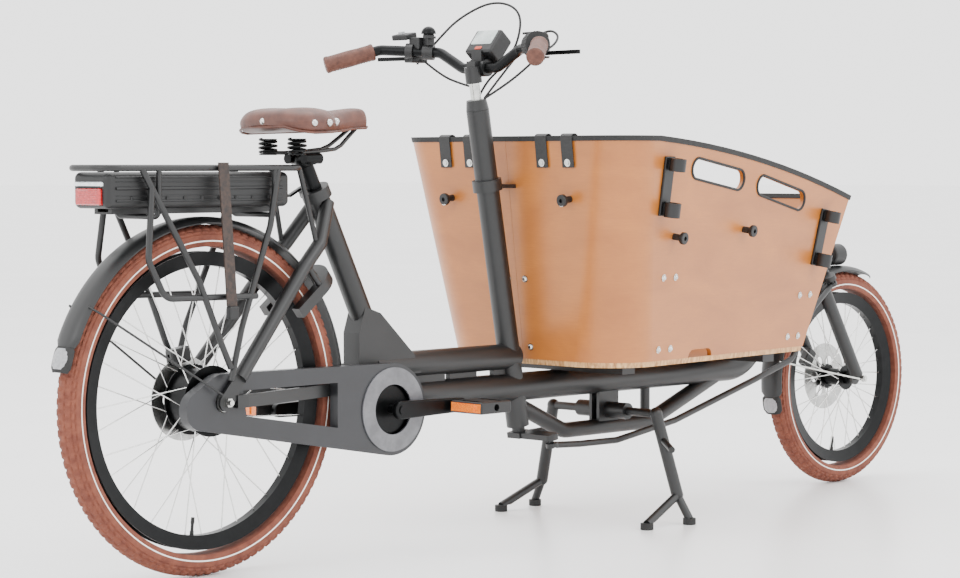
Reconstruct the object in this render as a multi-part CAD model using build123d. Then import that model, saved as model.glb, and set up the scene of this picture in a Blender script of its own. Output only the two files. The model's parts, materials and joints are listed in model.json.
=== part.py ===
from build123d import *
from math import atan, cos, pi, radians, sin, sqrt, tan
import os

# Electric cargo bicycle with a plywood box ahead of the rider. Millimetres. While the pieces are made,
# X runs forward from the rear axle, Y is to the rider's left and Z is up from the floor.

# Overall sizes
wheelbase = 2014
rear_tyre_r = 331
front_tyre_r = 257
tyre_width = 54
handlebar_half = 300
saddle_clamp_height = 783
battery_length = 440
battery_height = 66
battery_travel = 400

# Fits and clearances
running_gap = 0.05
part_gap = 0.5
soft_gap = 0.3
fender_gap = 12

# Wheels
tyre_wall = 3.5
bead_depth = 4
rear_rim_r = rear_tyre_r - tyre_width + bead_depth
front_rim_r = front_tyre_r - tyre_width + bead_depth
rim_depth = 27
rim_half_width = 15
rim_wall = 2.5
spoke_count = 36
spoke_r = 1.2
hub_shell_r = 60
rear_flange_r = 67
front_flange_r = 30
flange_y = 28
flange_thickness = 3
rotor_r = 80
rotor_thickness = 1.8
rear_rotor_y = 50
front_rotor_y = 37
axle_r = 5
rear_dropout_y = tyre_width / 2 + 40.5
dropout_thickness = 6

# Drive
crank_x = 439
crank_z = 288
crank_length = 170
crank_arm_y = 86
chainring_r = 76.8
sprocket_r = 38.4
chain_line = rear_dropout_y - 14.5
chain_height = 8
chain_width = 7
spindle_r = 9
case_width = 22
case_wall = 2
case_margin = 13
case_window_r = 50

# Frame tubes
seat_tube_r = 23
seat_top = (288, 728)
seat_tilt = 26.57
seat_post_r = 15
beam_r = 27
beam_z = 369
main_tube_r = 30
main_tube_z = 303
tube_wall = 2.5
column_r = 24
column_wall = 3
column_foot = (872.7, 220)
column_tilt = 10.5
column_length = 679
collar_height = 21
quill_r = 11
steerer_r = 14
fork_tilt = 32.3
head_tube_r = 25
head_tube_start = 322
head_tube_length = 112
cup_height = 10
stay_r = 14
truss_r = 17

# Steering linkage
steer_arm = 92
arm_ratio = 1.0167
fork_arm = steer_arm * arm_ratio
rod_r = 7
rod_wall = 4.5
ball_r = 8
front_ball_r = 6.5
open_pivot_gap = 2
open_eye_wall = 3
stud_r = 4

# Lamp
lamp_r = 26
lamp_length = 46
lug_thickness = 12
ball_drop = 12

# Stand
stand_pivot = (1150, 236)
stand_half = 150
stand_leg_r = 13
foot_r = 14
foot_height = 14

# Box
box_wall = 11
box_floor_z = 351
box_panel_z = box_floor_z + box_wall
box_rim_z = 830
box_half_width = 255
box_taper = 0.098
box_flare = 0.141
box_rear_x = 891
box_rear_lean = 0.124
box_front_x = 1612
box_front_lean = 0.382
box_corner_r = 110
box_corner_taper = 0.044
trim_lap = 2.2
slot_height = 42

LOW = (Align.CENTER, Align.CENTER, Align.MIN)
nodes = {}


def add(name, *shapes):
    nodes[name] = [solid for shape in shapes for solid in shape.solids()]


def bar(start, end, r, hole=0):
    """A round bar, or a tube, from one point to another."""
    a = Vector(*start)
    b = Vector(*end)
    piece = Cylinder(r, (b - a).length, align=LOW)
    if hole:
        piece -= Cylinder(hole, (b - a).length, align=LOW)
    return Plane(origin=a, z_dir=b - a) * piece


def bent(points, r, bend, hole=0):
    """A bar or tube that follows straight runs joined by bends."""
    path = FilletPolyline(*points, radius=bend)
    section = Circle(r) - Circle(hole) if hole else Circle(r)
    return sweep(Plane(origin=path @ 0, z_dir=path % 0) * section, path=path)


def slab(face, y_right, y_left):
    """An X-Z outline given thickness between two side positions."""
    return extrude(Pos(0, y_left, 0) * (Plane.XZ * face), y_left - y_right)


def outline(*points):
    return make_face(Polyline(*points, close=True))


def belt(x1, z1, r1, x2, z2, r2):
    """The outline of a belt round two discs."""
    rim = (Pos(x1, z1) * Circle(r1)).edges() + (Pos(x2, z2) * Circle(r2)).edges()
    return make_hull(rim)


def block(x, y, z, round_r=0):
    """A block about its own centre, with rounded edges."""
    piece = Box(x, y, z)
    return fillet(piece.edges(), round_r) if round_r else piece


def cope(piece, *others):
    """Cut the others out of a piece and keep its main body, as a tube is coped before it is welded."""
    for other in others:
        piece = piece - other
    return max(piece.solids(), key=lambda solid: solid.volume)


def both(shape):
    """A right-hand piece and its left-hand mirror image."""
    return [shape, mirror(shape, about=Plane.XZ)]


def spin(face, x, z):
    """Turn a section about a wheel's axle; the section is drawn as radius against rightward offset."""
    return Pos(x, 0, z) * Rot(90, 0, 0) * revolve(Plane.XZ * face, Axis.Z)


def disc(x, z, r, y_right, y_left, hole=0):
    face = Circle(r) - Circle(hole) if hole else Circle(r)
    return slab(Pos(x, z) * face, y_right, y_left)


# ---------------------------------------------------------------- wheels

def tyre(x, r, rim_r):
    half = tyre_width / 2
    ring = Pos(r - half, 0) * (Circle(half) - Circle(half - tyre_wall))
    keep = Pos(rim_r + half, 0) * Rectangle(2 * half, 2 * tyre_width)
    return spin(ring & keep, x, r)


def rim(x, r, rim_r):
    outer = Polyline(
        (rim_r, rim_half_width), (rim_r - rim_depth, 9), (rim_r - rim_depth, -9), (rim_r, -rim_half_width),
        (rim_r, -rim_half_width + rim_wall + 1.5), (rim_r - rim_depth + rim_wall, -9 + rim_wall),
        (rim_r - rim_depth + rim_wall, 9 - rim_wall), (rim_r, rim_half_width - rim_wall - 1.5), close=True)
    return spin(make_face(outer), x, r)


def spokes(x, r, rim_r, flange_r):
    """Spokes from alternate flanges, crossing each other on the way to the rim."""
    pieces = []
    reach = rim_r - rim_depth + rim_wall
    for i in range(spoke_count):
        side = 1 if i % 2 else -1
        lean = 28 if i % 4 < 2 else -28
        rim_angle = radians(360 / spoke_count * i)
        hub_angle = rim_angle + radians(lean)
        hub_r = flange_r - 4
        start = (x + hub_r * cos(hub_angle), side * flange_y, r + hub_r * sin(hub_angle))
        end = (x + reach * cos(rim_angle), side * 2, r + reach * sin(rim_angle))
        pieces.append(bar(start, end, spoke_r))
    return pieces


def hub(x, z, shell_r, flange_r, reach, rotor_y):
    """Hub shell, its two flanges and end sleeves on a running bore, with the brake disc on the left."""
    bore = axle_r + running_gap
    shell = disc(x, z, shell_r, -flange_y, flange_y)
    for side in (-1, 1):
        outer = side * (flange_y + flange_thickness / 2)
        inner = side * (flange_y - flange_thickness / 2)
        shell += disc(x, z, flange_r, min(outer, inner), max(outer, inner))
    shell += disc(x, z, 16, -reach[0], reach[1])
    shell -= disc(x, z, bore, -reach[0] - 1, reach[1] + 1)
    rotor = disc(x, z, rotor_r, rotor_y, rotor_y + rotor_thickness, 16)
    vents = [Pos(x, z) * Rot(0, 0, 60 * i) * Pos(40, 0) * Circle(13) for i in range(6)]
    for vent in vents:
        rotor -= slab(vent, rotor_y - 1, rotor_y + rotor_thickness + 1)
    return shell, rotor


rear_reach = (chain_line - 8, rear_dropout_y - part_gap)
front_reach = (42, 42)
add("rear_tyre", tyre(0, rear_tyre_r, rear_rim_r))
add("rear_rim", rim(0, rear_tyre_r, rear_rim_r))
add("rear_spokes", *spokes(0, rear_tyre_r, rear_rim_r, rear_flange_r))
add("rear_hub", *hub(0, rear_tyre_r, hub_shell_r, rear_flange_r, rear_reach, rear_rotor_y))
add("front_tyre", tyre(wheelbase, front_tyre_r, front_rim_r))
add("front_rim", rim(wheelbase, front_tyre_r, front_rim_r))
add("front_spokes", *spokes(wheelbase, front_tyre_r, front_rim_r, front_flange_r))
add("front_hub", *hub(wheelbase, front_tyre_r, 20, front_flange_r, front_reach, front_rotor_y))

sprocket = disc(0, rear_tyre_r, sprocket_r, -chain_line - 1.5, -chain_line + 1.5)
sprocket += disc(0, rear_tyre_r, 18, -rear_dropout_y + part_gap, -rear_reach[0] - part_gap)
sprocket -= disc(0, rear_tyre_r, axle_r + running_gap, -rear_dropout_y, -rear_reach[0])
add("rear_sprocket", sprocket)

# ---------------------------------------------------------------- cranks, pedals, chain and chain case

spindle = disc(crank_x, crank_z, spindle_r, -crank_arm_y - 9, crank_arm_y + 9)
chainring = disc(crank_x, crank_z, chainring_r, -chain_line - 1.5, -chain_line + 1.5, spindle_r)
spider = disc(crank_x, crank_z, case_window_r - 4, -chain_line - 5, -chain_line - 1.5, spindle_r)
crank_arms = []
for side in (-1, 1):
    tip = crank_x - side * crank_length
    low = side * crank_arm_y - 7
    arm = slab(belt(crank_x, crank_z, 18, tip, crank_z, 14), low, low + 14)
    arm = fillet(arm.edges().group_by(Axis.Y)[0] + arm.edges().group_by(Axis.Y)[-1], 3)
    pin = disc(tip, crank_z, 7, min(low, side * 180), max(low + 14, side * 180))
    crank_arms.append(arm - disc(crank_x, crank_z, spindle_r, -200, 200) - pin)
    crank_arms.append(pin)
add("crank_set", spindle, chainring + spider, *crank_arms)


def pedal(side):
    """Pedal body with a bore for its pin and a reflector on the front and back edges."""
    x = crank_x - side * crank_length
    y = side * (crank_arm_y + 58)
    body = Pos(x, y, crank_z) * block(88, 88, 24, 4)
    body -= Pos(x + 27, y, crank_z) * Box(14, 60, 40)
    body -= Pos(x - 27, y, crank_z) * Box(14, 60, 40)
    body -= disc(x, crank_z, 7 + running_gap, -220, 220)
    lens = [Pos(x + edge * 45.5, y, crank_z) * Box(3, 50, 14) for edge in (-1, 1)]
    return [body, *lens]


add("pedal_right", *pedal(-1))
add("pedal_left", *pedal(1))

ends = (0, rear_tyre_r, sprocket_r, crank_x, crank_z, chainring_r)


def case_outline(grow):
    return belt(0, rear_tyre_r, sprocket_r + grow, crank_x, crank_z, chainring_r + grow)


chain_face = case_outline(chain_height) - case_outline(0.6)
add("drive_chain", slab(chain_face, -chain_line - chain_width / 2, -chain_line + chain_width / 2))

tail = Pos(-52, rear_tyre_r - 12) * Circle(38)
case_full = make_hull(case_outline(case_margin + 2).edges() + tail.edges())
tail_inside = Pos(-52, rear_tyre_r - 12) * Circle(38 - case_wall)
case_inside = make_hull(case_outline(case_margin).edges() + tail_inside.edges())
window = outline((48, 350), (290, 350), (290, 262), (56, 301))
window_wall = outline((46, 352), (292, 352), (292, 259.5), (54, 298.5))
case_mid = -chain_line


def case_half(outer_y, inner_y):
    """One half shell of the chain case, an open tray with a window and a round opening."""
    low = min(outer_y, inner_y)
    high = max(outer_y, inner_y)
    web_low = min(outer_y, outer_y + (case_wall if inner_y > outer_y else -case_wall))
    rim_walls = slab(case_full - case_inside, low, high)
    window_frame = slab(window_wall - window, low, high)
    web = slab(case_full, web_low, web_low + case_wall)
    tray = rim_walls + window_frame + web
    tray -= slab(window, low - 1, high + 1)
    tray -= disc(crank_x, crank_z, case_window_r, low - 1, high + 1)
    return tray - disc(0, rear_tyre_r, 20, low - 1, high + 1)


outer_y = case_mid - case_width / 2
inner_y = case_mid + case_width / 2
ring_cover = disc(crank_x, crank_z, 84, outer_y - 3, outer_y, case_window_r)
add("chain_case", case_half(outer_y, case_mid), case_half(inner_y, case_mid), ring_cover)

# ---------------------------------------------------------------- frame

motor_half = 38
motor = slab(belt(crank_x, crank_z, 60, crank_x + 58, crank_z + 22, 42), -motor_half, motor_half)
motor = fillet(motor.edges().group_by(Axis.Y)[0] + motor.edges().group_by(Axis.Y)[-1], 6)
motor -= disc(crank_x, crank_z, spindle_r + running_gap, -motor_half - 1, motor_half + 1)
add("motor_unit", motor)

seat_dir = Vector(sin(radians(seat_tilt)), 0, -cos(radians(seat_tilt)))
seat_point = Vector(seat_top[0], 0, seat_top[1])
seat_plane = Plane(origin=seat_point, x_dir=(0, 1, 0), z_dir=-1 * seat_dir)
seat_tube_length = 300
seat_foot = seat_point + seat_dir * seat_tube_length
seat_bore = seat_post_r + running_gap
seat_tube = bar(seat_point, seat_foot, seat_tube_r, seat_bore)
seat_outer = bar(seat_point, seat_foot, seat_tube_r)

column_up = Vector(-sin(radians(column_tilt)), 0, cos(radians(column_tilt)))
column = Plane(
    origin=(column_foot[0], 0, column_foot[1]), x_dir=(cos(radians(column_tilt)), 0, sin(radians(column_tilt))),
    z_dir=column_up)
column_outer = column * Cylinder(column_r, column_length, align=LOW)
column_bore = column * Cylinder(column_r - column_wall, column_length, align=LOW)
column_cups = []
for height in (0, column_length - cup_height):
    cup = Cylinder(column_r - column_wall, cup_height, align=LOW)
    cup -= Cylinder(steerer_r + running_gap, cup_height, align=LOW)
    column_cups.append(column * Pos(0, 0, height) * cup)
add("column_tube", column_outer - column_bore, *column_cups)

main_path = (
    (470, 0, main_tube_z), (wheelbase - 379, 0, main_tube_z), (wheelbase - 319, 0, main_tube_z + 75),
    (wheelbase - 194, 0, 580))
main_full = bent(main_path, main_tube_r, 110)
main_hollow = bent(main_path, main_tube_r, 110, main_tube_r - tube_wall)

fork_up = Vector(-sin(radians(fork_tilt)), 0, cos(radians(fork_tilt)))
fork_frame = Plane(
    origin=(wheelbase, 0, front_tyre_r), x_dir=(cos(radians(fork_tilt)), 0, sin(radians(fork_tilt))), z_dir=fork_up)
head_outer = fork_frame * Pos(0, 0, head_tube_start) * Cylinder(head_tube_r, head_tube_length, align=LOW)
head_bore = fork_frame * Pos(0, 0, head_tube_start) * Cylinder(head_tube_r - 4, head_tube_length, align=LOW)
head_cups = []
for height in (head_tube_start, head_tube_start + head_tube_length - cup_height):
    cup = Cylinder(head_tube_r - 4, cup_height, align=LOW)
    cup -= Cylinder(steerer_r + running_gap, cup_height, align=LOW)
    head_cups.append(fork_frame * Pos(0, 0, height) * cup)
add("head_tube", head_outer - head_bore, *head_cups)

bracket_half = 23
bracket_face = outline((387, 352), (387, 440), (404, 492), (446, 478), (540, beam_z + 22), (560, 352))
bracket = slab(bracket_face, -bracket_half, bracket_half)
bracket += Pos(404, 0, 364) * Box(34, 82, 26)
bracket += slab(outline((500, 320), (500, 352), (640, 352), (640, 320)), -12, 12)
beam = bar((440, 0, beam_z), (860, 0, beam_z), beam_r, beam_r - tube_wall)
beam_full = bar((440, 0, beam_z), (860, 0, beam_z), beam_r)
seat_tube = cope(seat_tube, motor)
bracket = cope(bracket, motor, seat_outer, main_full)
beam = cope(beam, bracket, seat_outer, motor, column_outer)
web_low = main_tube_z + 22
web_high = beam_z - 19
column_back = column_foot[0] - (beam_z - column_foot[1]) * tan(radians(column_tilt)) - column_r
web_rear = slab(outline((660, web_low), (660, web_high), (740, web_high), (740, web_low)), -6, 6)
web_front_x = (column_back - 30, column_back + 10)
web_front = outline(
    (web_front_x[0], web_low), (web_front_x[0], web_high), (web_front_x[1], web_high), (web_front_x[1], web_low))
web_front = slab(web_front, -6, 6)
webs = [cope(web, main_full, beam_full, column_outer) for web in (web_rear, web_front)]
add("seat_tube", seat_tube)
add("centre_beam", bracket, beam, *webs)
main_tube = cope(main_hollow, motor, column_outer, head_outer, bracket)
add("main_tube", main_tube)

truss_z = 199
truss_path = (
    (column_foot[0] + 3, 0, column_foot[1] + 42), (1015, 0, truss_z), (1302, 0, truss_z), (1580, 0, main_tube_z))
truss = bent(truss_path, truss_r, 60, truss_r - 2)
truss_full = bent(truss_path, truss_r, 60)
strut = cope(bar((1290, 0, truss_z), (1290, 0, main_tube_z), 11), truss_full, main_full)
barrel_r = 18
barrel_half = 70
stand_shaft_r = 9
barrel_ends = [(stand_pivot[0], y, stand_pivot[1]) for y in (-barrel_half, barrel_half)]
barrel = bar(*barrel_ends, barrel_r, stand_shaft_r + running_gap)
barrel_full = bar(*barrel_ends, barrel_r)
hanger_face = outline((1118, 212), (1118, 290), (1182, 290), (1182, 212))
hangers = [slab(hanger_face, y - 4, y + 4) for y in (-11, 11)]
hangers = [cope(plate, truss_full, main_full, barrel_full) for plate in hangers]
add("lower_truss", cope(truss, column_outer, main_full), strut, barrel, *hangers)

stay_path = ((34, -rear_dropout_y - 1.5, 374), (215, -53, 580), (258, -49, 622), (306, -18, 700))
seat_stay = bent(stay_path, stay_r, 40)
dropout_face = belt(0, rear_tyre_r, 17, 32, rear_tyre_r + 42, 13)
dropout = slab(dropout_face, -rear_dropout_y - dropout_thickness, -rear_dropout_y)
dropout -= disc(0, rear_tyre_r, axle_r, -90, -60)
dropout_full = slab(dropout_face, -rear_dropout_y - dropout_thickness, -rear_dropout_y)
seat_collar = seat_plane * Pos(0, 0, -22) * (Cylinder(29, 22, align=LOW) - Cylinder(seat_tube_r, 22, align=LOW))
case_space = slab(case_full, case_mid - case_width / 2 - 2, case_mid + case_width / 2 + 2)
axle_space = disc(0, rear_tyre_r, 30, -90, -60)
seat_stay = cope(seat_stay, seat_outer, seat_collar, dropout_full, case_space, axle_space)
add("seat_stays", *both(seat_stay))

stay_y = tyre_width / 2 + 8
stay_end_y = rear_dropout_y + dropout_thickness / 2
stay_line = Polyline(
    (395, -stay_y, 362), (290, -stay_y, 334), (50, -stay_end_y, rear_tyre_r), (24, -stay_end_y, rear_tyre_r))
stay_section = Plane(origin=stay_line @ 0, x_dir=(0, 1, 0), z_dir=stay_line % 0) * Rectangle(12, 24)
chain_stay = sweep(stay_section, path=stay_line, transition=Transition.RIGHT)
chain_stay = cope(chain_stay, dropout_full, bracket, motor)
axle = disc(0, rear_tyre_r, axle_r, -88, 88)
nut_low = rear_dropout_y + dropout_thickness
nuts = [slab(Pos(0, rear_tyre_r) * (RegularPolygon(9, 6) - Circle(axle_r)), y, y + 9) for y in (-nut_low - 9, nut_low)]


def caliper(x, z, angle, rotor_y):
    """Brake caliper: a block over the disc's edge with a slot that the disc runs in."""
    body = block(46, 22, 30, 4) - Pos(0, 0, -8) * Box(60, 6, 30)
    middle = rotor_y + rotor_thickness / 2
    reach = rotor_r + 4
    place = Pos(x + reach * cos(radians(angle)), middle, z + reach * sin(radians(angle)))
    return place * Rot(0, 90 - angle, 0) * body



rear_caliper = caliper(0, rear_tyre_r, 100, rear_rotor_y)
add("chain_stays", *both(dropout), *both(chain_stay), axle, *nuts, rear_caliper)

# ---------------------------------------------------------------- fenders, rack, battery and lock

def fender(x, z, r, start, end, width):
    """A curved blade from one angle to another round a wheel."""
    ring = revolve(Plane.XZ * (Pos(r + 1.5, 0) * Rectangle(3, width)), Axis.Z, end - start)
    return Pos(x, 0, z) * Rot(90, 0, 0) * Rot(0, 0, start) * ring


rear_fender_r = rear_tyre_r + fender_gap
front_fender_r = front_tyre_r + fender_gap
fender_width = tyre_width + 8
flap_width = fender_width - 6
rear_blade = fender(0, rear_tyre_r, rear_fender_r, 7, 159, fender_width)
rear_flap = fender(0, rear_tyre_r, rear_fender_r, 159, 168, flap_width)
stay_anchor = (-16, -rear_dropout_y - 11.5, rear_tyre_r + 16)
tip_x = (rear_fender_r - 2) * cos(radians(146))
tip_z = rear_tyre_r + (rear_fender_r - 2) * sin(radians(146))
stay_tip_y = fender_width / 2 - 3
fender_stay = bent((stay_anchor, (tip_x * 0.92, -stay_tip_y - 11, tip_z * 0.97), (tip_x, -stay_tip_y, tip_z)), 2.5, 12)
fender_stay = cope(fender_stay, dropout_full, rear_blade)
add("rear_fender", rear_blade, rear_flap, *both(fender_stay))

rack_z = 768
rack_half = 62
rack_r = 6
rack_rear = -271
strut_r = 6
cradle_r = 5
cradle_z = 679
loop_half = bent(
    ((212, 0, rack_z), (212, -rack_half, rack_z), (rack_rear, -rack_half, rack_z), (rack_rear, 0, rack_z)), rack_r, 40)
strut_foot_y = rear_dropout_y + dropout_thickness + strut_r + 3
long_path = ((-190, -rack_half, rack_z), (-72, -80, 560), (-20, -strut_foot_y, 440), (2, -strut_foot_y, 396))
long_strut = bent(long_path, strut_r, 60)
short_path = ((140, -rack_half, rack_z), (112, -70, 660), (30, -81, 470), (2, -strut_foot_y, 372))
short_strut = bent(short_path, strut_r, 60)
guard = bent(((-170, -66, 734), (-185, -74, 600), (-150, -78, 530), (70, -77.5, 528)), strut_r, 30)
front_foot = bent(((212, -40, rack_z), (228, -46, 700), (246, -50, 628)), 5, 60)
cradle_path = ((-150, -rack_half, rack_z), (-150, -rack_half + 2, cradle_z), (-150, 0, cradle_z))
cradle_half = bent(cradle_path, cradle_r, 12)
cradle_front = Pos(280, 0, 0) * cradle_half
long_strut = cope(long_strut, loop_half)
short_strut = cope(short_strut, loop_half, long_strut)
guard = cope(guard, long_strut, short_strut)
front_foot = cope(front_foot, loop_half, seat_stay)
cradle_half = cope(cradle_half, loop_half, long_strut)
cradle_front = cope(cradle_front, loop_half, short_strut)
rail_half = 25
rail_slot = 30
rail_low = cradle_z + cradle_r
rail_top = rail_low + 10
rail = Pos(-30, 0, rail_low + 5) * Box(400, 2 * rail_half, 10)
rail -= Pos(-30, 0, rail_top - 2) * Box(440, rail_slot, 8)
rack_tubes = []
for piece in (loop_half, long_strut, short_strut, guard, front_foot, cradle_half, cradle_front):
    rack_tubes.extend(both(piece))
add("rear_rack", *rack_tubes, rail)

battery_front = 180
battery_width = 102
battery_mid = battery_front - battery_length / 2
battery_low = rail_top + part_gap
runner_z = battery_low - 2
lamp_x = battery_front - battery_length
tail_lamp_z = 716
tail_lamp_width = 72
tail_lamp_height = 30
battery = Pos(battery_mid, 0, battery_low + battery_height / 2) * block(battery_length, battery_width, battery_height, 12)
battery += Pos(battery_mid, 0, runner_z) * Box(battery_length - 90, rail_slot - 2 * part_gap, 7)
battery -= Pos(lamp_x, 0, tail_lamp_z) * Box(16, tail_lamp_width + 2, tail_lamp_height + 2)
add("battery", battery)
add("tail_light", Pos(lamp_x + 1, 0, tail_lamp_z) * block(14, tail_lamp_width, tail_lamp_height, 3))

strap_face = outline((-71, 778), (-74, 778), (-97, 512), (-94, 512))
strap = extrude(Pos(-18, 0, 0) * (Plane.YZ * strap_face), 24)
clip_block = Pos(-6, -97, 500) * block(22, 14, 24, 3)
add("rack_strap", strap, clip_block)

lock_angle = 38
lock_plane = Plane(
    origin=(0, 0, rear_tyre_r), x_dir=(0, 1, 0),
    z_dir=(sin(radians(lock_angle)), 0, -cos(radians(lock_angle))))
lock_inner = fender_width / 2 + 6
lock_outer = lock_inner + 21
lock_face = Pos(0, 330) * Circle(lock_outer) + Pos(0, 293) * Rectangle(2 * lock_outer, 74)
lock_face -= Pos(0, 330) * Circle(lock_inner) + Pos(0, 280) * Rectangle(2 * lock_inner, 100)
lock = lock_plane * extrude(lock_face, 11, both=True)
lock_tab = [lock_plane * Pos(side * (lock_outer - 7), 330, -11) * Rot(180, 0, 0) * Cylinder(6, 60, align=LOW) for side in (-1, 1)]
stay_pair = both(seat_stay)
lock_tab = [cope(tab, *stay_pair) for tab in lock_tab]
lock_key = lock_plane * Pos(lock_outer + 10, 318, 0) * Rot(0, 90, 0) * Cylinder(7, 20)
add("ring_lock", lock, *lock_tab, lock_key - lock)

# ---------------------------------------------------------------- box

side_norm = sqrt(1 + box_taper ** 2)


def rear_x(z):
    return box_rear_x - (z - 355) * box_rear_lean


def corner_r(z):
    return box_corner_r - (z - 355) * box_corner_taper


def front_x(z):
    return box_front_x + (z - 360) * box_front_lean


def side_y(x, z):
    return box_half_width - box_taper * (x - 1005) + box_flare * (z - 355)


def seam_x(z):
    """Where the bent corner sheet ends and the flat side begins."""
    return rear_x(z) + corner_r(z) * (1 + box_taper / side_norm)


def plan(z, inset):
    """The box's outline in plan at a height, moved inward by a distance."""
    r = corner_r(z) - inset
    x_mid = rear_x(z) + corner_r(z)
    y_mid = side_y(x_mid, z) - side_norm * corner_r(z)
    lean = atan(box_taper)
    end = (x_mid + r * sin(lean), y_mid + r * cos(lean))
    turn = (pi + pi / 2 - lean) / 2
    mid = (x_mid + r * cos(turn), y_mid + r * sin(turn))
    x_front = front_x(z) - inset * 1.05
    y_front = side_y(x_front, z) - inset * side_norm
    back = rear_x(z) + inset
    edges = [
        Line((back, -y_mid), (back, y_mid)),
        ThreePointArc((back, y_mid), mid, end),
        Line(end, (x_front, y_front)),
        Line((x_front, y_front), (x_front, -y_front)),
        Line((x_front, -y_front), (end[0], -end[1])),
        ThreePointArc((end[0], -end[1]), (mid[0], -mid[1]), (back, -y_mid)),
    ]
    return Pos(0, 0, z) * make_face(edges)


def hull(inset, low, high):
    return loft([plan(low, inset), plan(high, inset)], ruled=True)


front_rim_z = 700
front_rim_x = front_x(front_rim_z)


def above_rim(lift):
    """Everything above the box's rim line, raised or lowered."""
    curve = ThreePointArc((950, box_rim_z + lift), (1340, 786 + lift), (front_rim_x, front_rim_z + lift))
    rest = Polyline(
        (front_rim_x, front_rim_z + lift), (1900, 655 + lift), (1900, 1100), (700, 1100),
        (700, box_rim_z + lift), (950, box_rim_z + lift))
    return slab(make_face([curve, rest]), -500, 500)


box_top = box_rim_z + 15
shell = hull(0, box_panel_z, box_top) - hull(box_wall, box_panel_z, box_top) - above_rim(0)


def hand_slot(x, z, length, slope):
    """A hand hole through both sides, with round ends and following the rim."""
    face = Pos(x, z) * Rot(0, 0, -slope) * SlotOverall(length, slot_height)
    return slab(face, -500, 500)


shell -= hand_slot(1182, 754, 205, 8.5)
shell -= hand_slot(1442, 712, 205, 12)
notch = slab(Pos(1190, box_panel_z) * SlotOverall(90, 34), -500, 500)
shell -= notch
behind_seam = slab(
    outline((700, 300), (seam_x(300), 300), (seam_x(900), 900), (700, 900)), -500, 500)
front_cut = [(front_x(z) - box_wall * 1.05, z) for z in (300, 900)]
ahead = slab(outline(front_cut[0], front_cut[1], (2200, 900), (2200, 300)), -500, 500)
rear_sheets = shell & behind_seam
centre_joint = Box(400, 0.6, 1400)
rear_sheets -= Pos(box_rear_x, 0, 600) * centre_joint
front_panel = shell & ahead
sides = shell - behind_seam - ahead
add("box_rear_panels", rear_sheets)
add("box_front_panel", front_panel)
side_solids = sides.solids().sort_by(Axis.Y)
add("box_side_right", side_solids[0])
add("box_side_left", side_solids[-1])
floor_lip = 1.5
add("box_floor", hull(floor_lip, box_floor_z, box_panel_z))

trim = hull(-trim_lap, 600, box_top) - hull(box_wall + trim_lap, 600, box_top)
trim = (trim & above_rim(-7)) - above_rim(4) - shell
add("box_rim_trim", trim)


def wall_plane(x, z, side):
    """A plane on the outside of a flat side: local X forward, local Y up, local Z outward."""
    normal = Vector(box_taper, side, -box_flare)
    along = Vector(1, -side * box_taper, 0)
    if side < 0:
        return Plane(origin=(x, -side_y(x, z), z), x_dir=along, z_dir=normal)
    return Plane(origin=(x, side_y(x, z), z), x_dir=-1 * along, z_dir=normal)


def rear_plane(y, z):
    """A plane on the outside of the rear wall: local X to the left, local Y up, local Z rearward."""
    return Plane(origin=(rear_x(z), y, z), x_dir=(0, -1, 0), z_dir=(-1, 0, -box_rear_lean))


def tent_bracket(x, z, height, lean, side):
    """Tent-pole bracket: a bolted plate with a clamp ring above and a cup below on one leaning axis."""
    pole_r = 10
    stand_off = 24
    plate = Pos(0, 0, 3) * block(34, height, 6, 2)
    pieces = plate
    for end, deep in ((1, 26), (-1, 30)):
        place = Pos(0, end * (height / 2 - 15), 0)
        arm = Pos(0, 0, stand_off / 2) * Box(16, 22, stand_off)
        ring = Pos(0, -deep / 2, stand_off) * Rot(-90, 0, 0) * Cylinder(17, deep, align=LOW)
        pieces += place * (arm + ring)
    bore = Pos(0, -height / 2 + 6, stand_off) * Rot(-90, 0, 0) * Cylinder(pole_r, height * 2, align=LOW)
    pieces -= bore
    turn = lean if side < 0 else -lean
    return wall_plane(x, z, side) * Rot(0, 0, turn) * pieces


brackets = []
for side in (-1, 1):
    brackets.append(tent_bracket(988, 730, 124, 0, side))
    brackets.append(tent_bracket(1628, 610, 130, -8, side))
add("tent_brackets", *brackets)


def knob(plane):
    """Tent knob: a stem and a flanged head with a hexagonal recess."""
    stem = Cylinder(7, 20, align=LOW)
    head = Pos(0, 0, 20) * Cylinder(13, 9, align=LOW)
    head = fillet(head.edges(), 2) - Pos(0, 0, 25) * extrude(RegularPolygon(5, 6), 6)
    return plane * (stem + head)


def dome_bolt(plane):
    return plane * (Cylinder(7.5, 1.2, align=LOW) + (Sphere(6) & Pos(0, 0, 0) * Cylinder(8, 5, align=LOW)))


hardware = []
for side in (-1, 1):
    hardware.append(knob(wall_plane(1306, 634, side)))
    hardware.append(knob(wall_plane(1040, 624, side)))
    hardware.append(knob(rear_plane(side * 170, 703)))
    for x, z in ((1040, 538), (1050, 386), (1594, 480), (1562, 387)):
        for offset in (-22, 22):
            hardware.append(dome_bolt(wall_plane(x + offset, z, side)))
    hardware.append(dome_bolt(wall_plane(1690, 660, side)))
    for z in (533, 388):
        hardware.append(dome_bolt(rear_plane(side * 24, z)))
add("box_hardware", *hardware)

straps = []
for side in (-1, 1):
    for y in (104, 176):
        webbing = rear_plane(side * y, box_rim_z - 33) * (Pos(0, 0, soft_gap + trim_lap + 1) * Box(32, 62, 2))
        rivet = rear_plane(side * y, box_rim_z - 52) * Pos(0, 0, soft_gap + trim_lap + 2) * Cylinder(5, 3, align=LOW)
        straps.append(webbing)
        straps.append(rivet)
add("belt_straps", *straps)

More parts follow.
